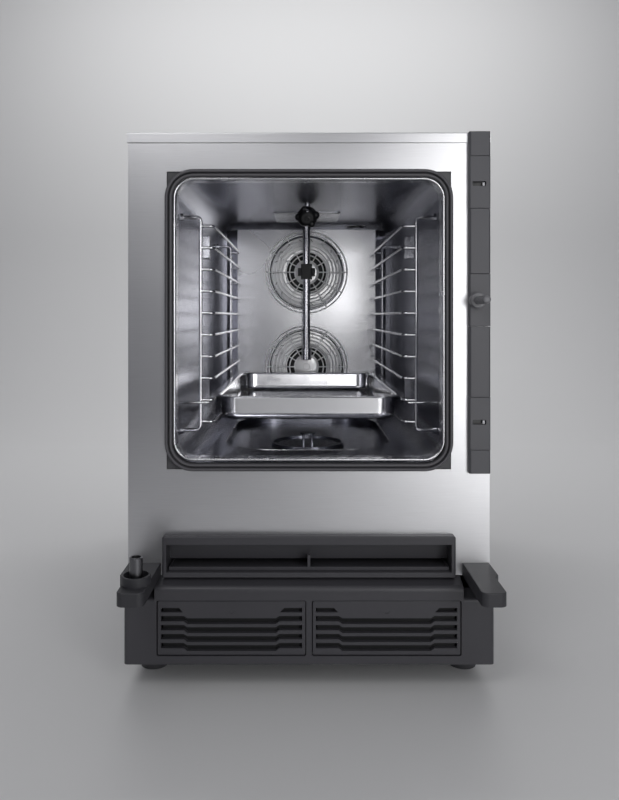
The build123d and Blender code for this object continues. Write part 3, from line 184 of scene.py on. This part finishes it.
def bump(tree, shader, height, strength, distance):
    """Give the shader a bump of that height."""
    node = tree.nodes.new("ShaderNodeBump")
    node.inputs["Strength"].default_value = strength
    node.inputs["Distance"].default_value = distance
    tree.links.new(height, node.inputs["Height"])
    tree.links.new(node.outputs["Normal"], shader.inputs["Normal"])


def scaled(colour, factor):
    """Colour made darker or lighter."""
    return tuple(min(1.0, c * factor) for c in colour)


def brushed(name, colour, roughness, grain=(1, 1, 60), fine=22.0, depth=0.12):
    """Brushed steel: long streaks in tone and roughness, with a slight bump across the grain."""
    material, tree, shader = new_material(name, colour, roughness, 1.0)
    streaks = noise(tree, fine, 4.0, grain)
    clouds = noise(tree, 3.0, 2.0)
    tree.links.new(tint(tree, streaks, scaled(colour, 0.92), scaled(colour, 1.06)),
                   shader.inputs["Base Color"])
    tree.links.new(ramp(tree, clouds, roughness * 0.88, roughness * 1.14), shader.inputs["Roughness"])
    bump(tree, shader, streaks, depth, 0.0004)
    return material


def polished(name, colour, roughness, depth=0.02):
    """Polished metal with faint handling marks."""
    material, tree, shader = new_material(name, colour, roughness, 1.0)
    marks = noise(tree, 60.0, 5.0)
    tone = tint(tree, marks, scaled(colour, 0.94), scaled(colour, 1.05))
    tree.links.new(tone, shader.inputs["Base Color"])
    tree.links.new(ramp(tree, marks, roughness * 0.75, roughness * 1.3), shader.inputs["Roughness"])
    bump(tree, shader, marks, depth, 0.0003)
    return material


def moulded(name, colour, roughness, grain=900.0, depth=0.10):
    """Moulded plastic or powder coat: fine grain and a slight change of tone."""
    material, tree, shader = new_material(name, colour, roughness)
    texture = noise(tree, grain, 2.0)
    clouds = noise(tree, 9.0, 3.0)
    tone = tint(tree, clouds, scaled(colour, 0.88), scaled(colour, 1.12))
    tree.links.new(tone, shader.inputs["Base Color"])
    tree.links.new(ramp(tree, clouds, roughness * 0.9, roughness * 1.1), shader.inputs["Roughness"])
    bump(tree, shader, texture, depth, 0.0002)
    shader.inputs["Specular IOR Level"].default_value = 0.45
    return material


STEEL = (0.66, 0.66, 0.675)
MATERIALS = {
    "brushed_panel": brushed("brushed_panel", STEEL, 0.34),
    "cavity_steel": brushed("cavity_steel", (0.50, 0.505, 0.56), 0.24, (1, 12, 1), 30.0, 0.03),
    "baffle_steel": brushed("baffle_steel", (0.80, 0.80, 0.82), 0.25, (1, 1, 30), 30.0, 0.06),
    "bright_lip": polished("bright_lip", (0.74, 0.74, 0.76), 0.22),
    "dark_seal": moulded("dark_seal", (0.075, 0.075, 0.080), 0.45),
    "gasket_rubber": moulded("gasket_rubber", (0.088, 0.086, 0.094), 0.50, 500.0, 0.15),
    "wool": moulded("wool", (0.70, 0.62, 0.45), 0.95, 300.0, 0.8),
    "chrome_wire": polished("chrome_wire", (0.80, 0.80, 0.82), 0.13),
    "fan_steel": brushed("fan_steel", (1.0, 1.0, 1.0), 0.30, (1, 1, 1), 40.0, 0.02),
    "motor_grey": moulded("motor_grey", (0.30, 0.31, 0.33), 0.5, 300.0, 0.3),
    "heater_tube": polished("heater_tube", (0.10, 0.096, 0.095), 0.48),
    "tube_steel": polished("tube_steel", (0.74, 0.74, 0.76), 0.16),
    "black_polymer": moulded("black_polymer", (0.012, 0.012, 0.013), 0.36),
    "column_grey": moulded("column_grey", (0.085, 0.085, 0.094), 0.48),
    "striker_grey": moulded("striker_grey", (0.16, 0.16, 0.17), 0.38),
    "base_plastic": moulded("base_plastic", (0.052, 0.051, 0.058), 0.42),
    "base_paint": moulded("base_paint", (0.042, 0.042, 0.047), 0.5, 600.0, 0.2),
    "bracket_paint": moulded("bracket_paint", (0.034, 0.034, 0.039), 0.50, 600.0, 0.15),
    "pin_steel": polished("pin_steel", (0.17, 0.17, 0.18), 0.35),
    "tub_plastic": moulded("tub_plastic", (0.008, 0.008, 0.009), 0.7),
    "runner_steel": polished("runner_steel", (0.55, 0.55, 0.57), 0.35),
    "canister_plastic": moulded("canister_plastic", (0.55, 0.58, 0.60), 0.4),
    "pan_steel": polished("pan_steel", (0.84, 0.84, 0.86), 0.17, 0.004),
    "box_steel": brushed("box_steel", (0.55, 0.56, 0.58), 0.4),
    "valve_body": moulded("valve_body", (0.06, 0.06, 0.065), 0.4),
    "gland_plastic": moulded("gland_plastic", (0.03, 0.03, 0.033), 0.42),
    "drain_plastic": moulded("drain_plastic", (0.20, 0.20, 0.21), 0.45),
    "vent_steel": brushed("vent_steel", (0.60, 0.60, 0.62), 0.3, (40, 40, 1)),
    "foot_metal": moulded("foot_metal", (0.05, 0.05, 0.055), 0.4),
    "screw_steel": polished("screw_steel", (0.62, 0.62, 0.64), 0.25),
}


def dress_nodes():
    """Give every CAD node the finish of its material slot."""
    for entry in frame["record"]["subparts"]:
        mesh = NODES[entry["node"]].data
        mesh.materials.clear()
        mesh.materials.append(MATERIALS[entry["material_slot"]])


# --- mesh helpers -------------------------------------------------------------------------------
def soften(points, radius, steps=5, closed=False):
    """Round the corners of a line of points with short curves."""
    points = [Vector(p) for p in points]
    count = len(points)
    result = []
    for index, corner in enumerate(points):
        if not closed and index in (0, count - 1):
            result.append(corner)
            continue
        before, after = points[index - 1], points[(index + 1) % count]
        enter = corner + (before - corner).normalized() * min(radius, 0.48 * (before - corner).length)
        leave = corner + (after - corner).normalized() * min(radius, 0.48 * (after - corner).length)
        for step in range(steps + 1):
            t = step / steps
            result.append(enter.lerp(corner, t).lerp(corner.lerp(leave, t), t))
    return result


def add_piece(name, data, body, slot, replaces=(), sharp=35):
    """Put a mesh or curve on a body with the finish of a material slot."""
    piece = bpy.data.objects.new(name, data)
    bpy.context.scene.collection.objects.link(piece)
    data.materials.append(MATERIALS[slot])
    if piece.type == "MESH":
        data.validate()
        tidy = bmesh.new()
        tidy.from_mesh(data)
        bmesh.ops.remove_doubles(tidy, verts=tidy.verts, dist=1e-6)
        bmesh.ops.recalc_face_normals(tidy, faces=tidy.faces)
        tidy.to_mesh(data)
        tidy.free()
        data.polygons.foreach_set("use_smooth", [True] * len(data.polygons))
        data.set_sharp_from_angle(angle=math.radians(sharp))
    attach(piece, body)
    if replaces:
        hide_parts(*replaces)
    return piece


def merged(name, parts):
    """One mesh of several (points, faces) parts."""
    points, faces = [], []
    for part_points, part_faces in parts:
        start = len(points)
        points.extend(part_points)
        faces.extend([tuple(start + corner for corner in face) for face in part_faces])
    mesh = bpy.data.meshes.new(name)
    mesh.from_pydata([tuple(p) for p in points], [], faces)
    return mesh


def rounded_path(half_u, low_v, high_v, radius, steps=10):
    """Points and outward directions round a rounded rectangle that is centred on u = 0."""
    path = []
    corners = ((half_u - radius, high_v - radius), (radius - half_u, high_v - radius),
               (radius - half_u, low_v + radius), (half_u - radius, low_v + radius))
    for index, (mid_u, mid_v) in enumerate(corners):
        for step in range(steps + 1):
            turn = math.radians(90 * index + 90 * step / steps)
            out = (math.cos(turn), math.sin(turn))
            path.append(((mid_u + radius * out[0], mid_v + radius * out[1]), out))
    return path


def ring_part(path, profile, place, closed=True):
    """Profile swept round a path; a profile point is (distance outward, depth)."""
    points = [place(u + out_u * out, v + out_v * out, deep)
              for (u, v), (out_u, out_v) in path for out, deep in profile]
    size, spans = len(profile), len(profile) if closed else len(profile) - 1
    faces = []
    for i in range(len(path)):
        here, there = i * size, (i + 1) % len(path) * size
        for j in range(spans):
            faces.append((here + j, here + (j + 1) % size, there + (j + 1) % size, there + j))
    return points, faces


def lathe_part(profile, place, steps=72, closed=True):
    """Profile of (radius, depth) points turned round an axis."""
    circle = [((0, 0), (math.cos(2 * math.pi * i / steps), math.sin(2 * math.pi * i / steps)))
              for i in range(steps)]
    return ring_part(circle, profile, place, closed)


def wires(name, runs, body, slot, replaces=()):
    """Round wires; each run is (points, radius, closed)."""
    curve = bpy.data.curves.new(name, "CURVE")
    curve.dimensions = "3D"
    curve.bevel_depth = 1.0
    curve.bevel_resolution = 4
    curve.use_fill_caps = True
    for points, radius, closed in runs:
        spline = curve.splines.new("POLY")
        spline.points.add(len(points) - 1)
        for target, point in zip(spline.points, points):
            target.co = (*point, 1)
            target.radius = radius
        spline.use_cyclic_u = closed
        spline.use_smooth = True
    return add_piece(name, curve, body, slot, replaces)


def capped(part, size, row):
    """Close one row of a swept part, whose profile has size points, with a flat face."""
    points, faces = part
    return points, faces + [tuple(range(row, len(points), size))]


def rounded(outline, radius, steps, closed=False):
    """Profile of (distance, depth) pairs with soft corners."""
    curve = soften([(out, deep, 0) for out, deep in outline], radius, steps, closed)
    return [(point.x, point.y) for point in curve]


def upright_at(depth_zero):
    """Place (u, v, depth) as X, Z and depth behind that Y."""
    return lambda u, v, deep: Vector((u, depth_zero + deep, v))


# --- opening: gasket and lip ------------------------------------------------------------------
def make_gasket():
    """Rubber gasket: soft outer lip, groove and inner bead."""
    low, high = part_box("door_gasket")
    band, corner_out, proud = 11.0 * MM, 42.3 * MM, high.y - low.y
    path = rounded_path(high.x - band, low.z + band, high.z - band, corner_out - band, 14)
    outline = [(0, proud), (0, 2.6 * MM), (1.2 * MM, 1.4 * MM), (3.6 * MM, 1.4 * MM),
               (4.4 * MM, 7.5 * MM), (5.6 * MM, 7.5 * MM), (6.4 * MM, 0.0), (9.4 * MM, 0.4 * MM),
               (band, 3.2 * MM), (10.9 * MM, 9.4 * MM), (8.4 * MM, 10.0 * MM), (8.4 * MM, proud)]
    part = ring_part(path, rounded(outline, 1.3 * MM, 3, True), upright_at(low.y))
    add_piece("gasket_moulding", merged("gasket_moulding", [part]), "cabinet", "gasket_rubber",
              ["door_gasket"], 50)


def make_lip():
    """Bright rolled lip of the opening, turned out behind to the cavity wall."""
    low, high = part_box("opening_trim")
    lip_half = (high.x - low.x) / 2 - 10.6 * MM
    lip_low, lip_high = low.z + 12.1 * MM, high.z - 16.1 * MM
    deep, rolled, turned_out = high.y - low.y, 3.9 * MM, 10.0 * MM
    path = rounded_path(lip_half, lip_low, lip_high, 27 * MM, 14)
    outline = [(0, deep), (0, 0.4 * MM), (rolled, 0.4 * MM), (rolled, deep - 1.2 * MM),
               (turned_out, deep - 1.2 * MM), (turned_out, deep)]
    part = ring_part(path, rounded(outline, 1.9 * MM, 4, True), upright_at(low.y))
    add_piece("opening_lip", merged("opening_lip", [part]), "cabinet", "bright_lip",
              ["opening_trim"], 60)


# --- racks and pan ----------------------------------------------------------------------------
RUNGS, RUNG_PITCH, FIRST_RUNG_DROP = 10, 35.1 * MM, 14 * MM
RACK_LENGTH, POST_BEHIND_RUNG, STOP_RISE = 500 * MM, 21 * MM, 44.5 * MM


def make_rack(side, name):
    """Ten looped rungs on two bent posts, and the low stop bar."""
    low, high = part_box(name)
    post_r, rung_r, stop_r, bend = 3.0 * MM, 2.5 * MM, 2.2 * MM, 8 * MM
    inner = min(abs(low.x), abs(high.x))
    wall_x = side * max(abs(low.x), abs(high.x))
    rung_x, post_x = side * (inner + rung_r), side * (inner + rung_r + POST_BEHIND_RUNG)
    top, bottom = high.z - post_r, low.z + post_r
    rear = high.y - post_r
    front = rear - RACK_LENGTH
    runs = []
    for y in (front, rear):
        corners = [(wall_x, y, top), (post_x, y, top), (post_x, y, bottom), (wall_x, y, bottom)]
        runs.append((soften(corners, bend), post_r, False))
    for index in range(RUNGS):
        z = top - FIRST_RUNG_DROP - RUNG_PITCH * index
        corners = [(post_x, front, z), (rung_x, front, z), (rung_x, rear, z), (post_x, rear, z)]
        runs.append((soften(corners, bend), rung_r, False))
    stop_y, stop_z = low.y + stop_r, bottom + STOP_RISE
    stop_bar = [(wall_x, stop_y, stop_z), (side * (inner + 9.5 * MM), stop_y, stop_z)]
    runs.append((stop_bar, stop_r, False))
    wires(name + "_wires", runs, "cabinet", "chrome_wire", [name])


def make_pan():
    """Gastronorm pan: rolled rim, tapered walls, rounded bottom."""
    low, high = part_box("gn_pan")
    middle_y = (low.y + high.y) / 2
    rim, thick, corner = 14 * MM, 1.1 * MM, 34 * MM
    half_w, half_l = (high.x - low.x) / 2, (high.y - low.y) / 2
    depth = high.z - low.z
    path = rounded_path(half_w - rim, -half_l + rim, half_l - rim, corner, 12)

    def place(u, v, deep):
        return Vector((u, middle_y + v, high.z - deep))

    section = [(13.7 * MM, 1.3 * MM), (13.9 * MM, 0.5 * MM), (12.9 * MM, 0.0), (2.2 * MM, 0.0),
               (0.7 * MM, 0.5 * MM), (-0.6 * MM, 3.2 * MM), (-2.4 * MM, depth - 11 * MM),
               (-3.6 * MM, depth - 6 * MM), (-7.0 * MM, depth - 2.4 * MM),
               (-12.0 * MM, depth - thick), (-20 * MM, depth - thick)]
    profile = rounded(section, 2.0 * MM, 3)
    part = capped(ring_part(path, profile, place, False), len(profile), len(profile) - 1)
    pan = add_piece("gn_pan_pressing", merged("pan", [part]), "pan", "pan_steel", ["gn_pan"], 60)
    wall = pan.modifiers.new("wall", "SOLIDIFY")
    wall.thickness = thick * 0.8
    wall.offset = -1


# --- fans ---------------------------------------------------------------------------------------
GUARD_SPOKES, GUARD_RINGS, GUARD_STEP = 12, 8, 8 * MM
GUARD_BAND = 68 * MM                       # from the outer ring to the innermost one
FAN_BLADES, BLADE_STEPS, BLADE_SWEEP = 18, 6, 0.42


def make_guard(name):
    """Concentric wires on twelve radial wires, with pegs to the baffle."""
    low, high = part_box(name)
    mid, wire_r, peg_in = (low + high) / 2, 1.5 * MM, 3 * MM
    outer = (high.x - low.x) / 2 - wire_r
    ring_y, spoke_y = low.y + wire_r, low.y + 2.5 * wire_r
    runs = []
    for radius in [outer - GUARD_STEP * k for k in range(GUARD_RINGS)] + [outer - GUARD_BAND]:
        circle = [Vector((mid.x + radius * math.cos(math.radians(turn)), ring_y,
                          mid.z + radius * math.sin(math.radians(turn)))) for turn in range(0, 360, 4)]
        runs.append((circle, wire_r, True))
    hub = Vector((mid.x, spoke_y, mid.z))
    for index in range(GUARD_SPOKES):
        turn = 2 * math.pi * index / GUARD_SPOKES
        way = Vector((math.cos(turn), 0, math.sin(turn)))
        peg = hub + way * (outer - peg_in)
        corners = [hub + way * (outer - GUARD_BAND), peg, peg + Vector((0, high.y - spoke_y, 0))]
        runs.append((soften(corners, 2.5 * MM), wire_r, False))
    wires(name + "_wires", runs, "cabinet", "fan_steel", [name])


def blade_part(start, inner, outer, front, rear, thick, place):
    """One curved blade from the eye to the rim."""
    line = []
    for step in range(BLADE_STEPS + 1):
        share = step / BLADE_STEPS
        radius, turn = inner + share * (outer - inner), start + BLADE_SWEEP * share
        line.append(Vector((radius * math.cos(turn), radius * math.sin(turn), 0)))
    points, faces = [], []
    for step, spot in enumerate(line):
        along = (line[min(step + 1, BLADE_STEPS)] - line[max(step - 1, 0)]).normalized()
        side = Vector((-along.y, along.x, 0)) * thick / 2
        for shift, deep in ((side, front), (side, rear), (-side, rear), (-side, front)):
            points.append(place(spot.x + shift.x, spot.y + shift.y, deep))
    for here in range(0, 4 * BLADE_STEPS, 4):
        for j in range(4):
            after = (j + 1) % 4
            faces.append((here + j, here + after, here + 4 + after, here + 4 + j))
    last = 4 * BLADE_STEPS
    faces.extend([(3, 2, 1, 0), (last, last + 1, last + 2, last + 3)])
    return points, faces


def make_impeller(name, body):
    """Shrouded wheel: hub cap, flared eye, curved blades, back disc and shaft; a black ring in the eye and
    the dark blades and back disc are painted shade inside the wheel.
    """
    low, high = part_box(name)
    mid = (low + high) / 2
    rim, eye, thick, wheel = (high.x - low.x) / 2, 50 * MM, 1.2 * MM, 53 * MM
    shaft_r, shaft_end, axis_gap = 6 * MM, high.y - low.y, 0.5 * MM

    def place(u, v, deep):
        return Vector((mid.x + u, low.y + deep, mid.z + v))

    cap = [(axis_gap, 0.2 * MM), (7 * MM, 0.2 * MM), (8 * MM, 1.6 * MM), (24 * MM, 1.6 * MM),
           (29.5 * MM, 2.6 * MM), (29.5 * MM, 5 * MM), (15 * MM, 6 * MM), (15 * MM, wheel),
           (shaft_r, wheel + 3 * MM), (shaft_r, shaft_end), (axis_gap, shaft_end)]
    shroud = [(eye, 3.2 * MM), (eye + 4 * MM, 2.6 * MM), (rim, 5.6 * MM), (rim, 5.6 * MM + thick),
              (eye + 4 * MM, 2.6 * MM + thick), (eye + thick, 3.6 * MM + thick)]
    # Black ring behind the eye: painted shade inside the wheel.
    eye_shade = [(29 * MM, 7 * MM), (eye + 3 * MM, 7 * MM), (eye + 3 * MM, 8 * MM), (29 * MM, 8 * MM)]
    back = [(10 * MM, wheel - 2 * MM), (rim, wheel - 2 * MM), (rim, wheel), (10 * MM, wheel)]
    blades = [blade_part(2 * math.pi * index / FAN_BLADES, eye - 1 * MM, rim - 2 * MM,
                         4.5 * MM, wheel - 1 * MM, thick, place) for index in range(FAN_BLADES)]
    face = [lathe_part(cap, place), lathe_part(shroud, place)]
    add_piece(name + "_face", merged(name + "_face", face), body, "fan_steel", [name])
    add_piece(name + "_eye_painted_shade", merged(name + "_eye_painted_shade", [lathe_part(eye_shade, place)]), body, "black_polymer")
    # Blades and back disc in the dark heater-tube finish: painted shade inside the wheel.
    add_piece(name + "_blades", merged(name + "_blades", [lathe_part(back, place)] + blades), body,
              "heater_tube")


# --- wash nozzle --------------------------------------------------------------------------------
# facets of the ball: turn and tilt in degrees, distance as a share of the radius
OUTLET_FACETS = ((30, -20, 0.84), (150, -20, 0.84), (270, -20, 0.84))
PLAIN_FACETS = ((90, 30, 0.9), (210, 32, 0.9), (330, 32, 0.9), (0, -90, 0.88), (250, -58, 0.93),
                (10, -55, 0.93), (130, -58, 0.93))
# lobes of the ball: place and size as shares of the radius
LOBES = ((0.78, -0.25, 0.12, 0.40), (-0.80, -0.2, -0.05, 0.38), (0.42, -0.45, -0.72, 0.34),
         (-0.25, -0.5, 0.62, 0.34))
SCREW_TILT = 28                            # degrees above level, towards the front


def direction(turn, tilt):
    """Unit vector for a turn round Z and a tilt above level, in degrees."""
    turn, tilt = math.radians(turn), math.radians(tilt)
    return Vector((math.cos(turn) * math.cos(tilt), math.sin(turn) * math.cos(tilt), math.sin(tilt)))


def facing(origin, normal, reach):
    """Place (u, v, depth) on a plane that looks along normal, reach away from origin."""
    turned = normal.to_track_quat("Z", "Y")
    return lambda u, v, deep: origin + normal * (reach + deep) + turned @ Vector((u, v, 0))


def faceted_ball(radius, middle, cuts):
    """Ball with flat facets."""
    ball = bmesh.new()
    bmesh.ops.create_icosphere(ball, subdivisions=5, radius=radius)
    for vert in ball.verts:
        for normal, reach in cuts:
            past = vert.co.dot(normal) - reach
            if past > 0:
                vert.co -= normal * past
        vert.co += middle
    shell = bpy.data.meshes.new("wash_ball_shell")
    ball.to_mesh(shell)
    ball.free()
    return shell


def lobe_part(middle, radius, lobe):
    """Small sphere that stands out of the ball."""
    spot, size = middle + Vector(lobe[:3]) * radius, lobe[3] * radius
    dome = [(math.sin(math.radians(turn)) * size, math.cos(math.radians(turn)) * size)
            for turn in range(4, 180, 16)]
    return lathe_part(dome, lambda u, v, deep: spot + Vector((u, v, deep)), 20, False)


def make_wash_ball():
    """Faceted black ball with lobes, three outlets and a bright screw."""
    low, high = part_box("wash_ball")
    stem, radius = centre("wash_stem"), (high.x - low.x) / 2
    middle = Vector((stem.x, stem.y, high.z - radius))
    cuts = [(direction(turn, tilt), share * radius)
            for turn, tilt, share in OUTLET_FACETS + PLAIN_FACETS]
    add_piece("wash_ball_shell", faceted_ball(radius, middle, cuts), "wash_nozzle", "black_polymer",
              ["wash_ball"], 18)
    lobes = [lobe_part(middle, radius, lobe) for lobe in LOBES]
    add_piece("wash_ball_lobes", merged("wash_ball_lobes", lobes), "wash_nozzle", "black_polymer", (), 60)
    collar = [(2.2 * MM, -1.5 * MM), (2.2 * MM, 1.0 * MM), (3.0 * MM, 1.4 * MM), (5.6 * MM, 0.9 * MM),
              (6.4 * MM, -0.6 * MM)]
    outlets = [lathe_part(collar, facing(middle, normal, reach), 32)
               for normal, reach in cuts[:len(OUTLET_FACETS)]]
    add_piece("wash_ball_outlets", merged("wash_ball_outlets", outlets), "wash_nozzle", "black_polymer")
    head = [(1.0 * MM, -2 * MM), (1.0 * MM, 0.6 * MM), (1.5 * MM, 1.6 * MM), (2.5 * MM, 1.6 * MM),
            (3.2 * MM, 0.8 * MM), (3.2 * MM, -2 * MM)]
    screw = lathe_part(head, facing(middle, direction(-90, SCREW_TILT), 0.99 * radius), 32)
    add_piece("wash_ball_screw", merged("wash_ball_screw", [screw]), "wash_nozzle", "screw_steel")


# --- sump edge ----------------------------------------------------------------------------------
def make_sump_edge():
    """Soft raised bead round the pressed sump of the cavity floor; its bright lip finish, lighter than the
    floor, is partly a painted highlight along the sump's edge.
    """
    half_width, front, rear, corner = 146 * MM, 136 * MM, 539 * MM, 91 * MM
    path = rounded_path(half_width, FRONT_Y + front, FRONT_Y + rear, corner, 24)
    bead = [(1.6 * MM * math.cos(math.radians(turn)), 0.9 * MM * math.sin(math.radians(turn)))
            for turn in range(0, 181, 20)]

    def place(u, v, rise):
        return Vector((u, v, FLOOR_Z + rise))

    # Bright lip finish on the bead: painted highlight along the sump's edge.
    add_piece("sump_bead_highlight", merged("sump_bead_highlight", [ring_part(path, bead, place)]), "cabinet",
              "bright_lip", (), 60)


# --- painted shade in the fan chamber; ceiling plate, latch slots -------------------------------
def make_chamber_shade():
    """Dark sheet just inside the liner behind the baffle: painted shade of the fan chamber."""
    off, half, corner, rear = 0.6 * MM, 207.4 * MM, 44.4 * MM, FRONT_Y + 739.2 * MM
    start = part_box("fan_baffle")[1].y + 2 * MM
    path = rounded_path(half, FLOOR_Z + off, CEILING_Z - off, corner, 12)
    part = capped(ring_part(path, [(0, start), (0, rear)], upright_at(0), False), 2, 1)
    # The sheet takes the dark heater-tube finish to paint the shade behind the baffle and in the side
    # gaps.
    shade_sheet = add_piece("chamber_painted_shade", merged("chamber_painted_shade", [part]), "cabinet", "heater_tube", (), 40)
    thin = shade_sheet.modifiers.new("thin", "SOLIDIFY")
    thin.thickness = 0.2 * MM


def make_ceiling_plate():
    """Screwed plate on the ceiling with turned edges."""
    low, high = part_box("ceiling_plate")
    mid, edge = (low + high) / 2, 3 * MM
    half_x, half_y = (high.x - low.x) / 2 - edge, (high.y - low.y) / 2 - edge
    path = rounded_path(half_x, -half_y, half_y, 4 * MM, 6)

    def hanging(x, y):
        return lambda u, v, drop: Vector((x + u, mid.y + y + v, high.z - drop))

    rim = [(edge, 0.2 * MM), (edge, 1.2 * MM), (2 * MM, 2.2 * MM), (0, 2.2 * MM),
           (-1.5 * MM, 1.3 * MM), (-3.5 * MM, 1.3 * MM)]
    part = capped(ring_part(path, rim, hanging(0, 0), False), len(rim), len(rim) - 1)
    add_piece("ceiling_plate_pressing", merged("ceiling_plate_pressing", [part]), "cabinet",
              "baffle_steel", ["ceiling_plate"], 30)
    screw_x, screw_y = 62 * MM, 66 * MM
    head = [(0.4 * MM, 3.0 * MM), (2.4 * MM, 2.9 * MM), (3.4 * MM, 2.2 * MM), (3.4 * MM, 1.2 * MM)]
    heads = [lathe_part(head, hanging(x, y), 24, False)
             for x in (-screw_x, screw_x) for y in (-screw_y, screw_y)]
    add_piece("ceiling_plate_screws", merged("ceiling_plate_screws", heads), "cabinet", "screw_steel")


SLOT_X, CATCH_X = 250 * MM, 257 * MM
SLOTS = (("latch_block_upper", 736.8 * MM), ("latch_block_lower", 386.8 * MM))


def make_latch_catches():
    """Dark pocket and small catch behind each slot of the column."""
    for name, slot_z in SLOTS:
        face_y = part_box(name)[0].y

        def behind(x, slot_z=slot_z, face_y=face_y):
            return lambda u, v, deep: Vector((x + u, face_y + deep, slot_z + v))

        outline = rounded_path(12 * MM, -5.5 * MM, 5.5 * MM, 1.5 * MM, 4)
        pocket = capped(ring_part(outline, [(0, 2.6 * MM), (0, 7.5 * MM)], behind(SLOT_X), False), 2, 1)
        add_piece(name + "_pocket", merged(name + "_pocket", [pocket]), "cabinet", "black_polymer", (), 40)
        outline = rounded_path(1.6 * MM, -2.6 * MM, 2.2 * MM, 0.7 * MM, 3)
        catch = capped(ring_part(outline, [(0, 2.8 * MM), (0, 7 * MM)], behind(CATCH_X), False), 2, 0)
        add_piece(name + "_catch", merged(name + "_catch", [catch]), "cabinet", "pin_steel", (), 40)


# --- build ----------------------------------------------------------------------------------------
make_camera()
make_lights()
make_floor()
dress_nodes()
make_gasket()
make_lip()
make_rack(-1, "left_rack")
make_rack(1, "right_rack")
make_pan()
make_guard("upper_fan_guard")
make_guard("lower_fan_guard")
make_impeller("upper_impeller", "upper_fan")
make_impeller("lower_impeller", "lower_fan")
make_wash_ball()
make_sump_edge()
make_chamber_shade()
make_ceiling_plate()
make_latch_catches()
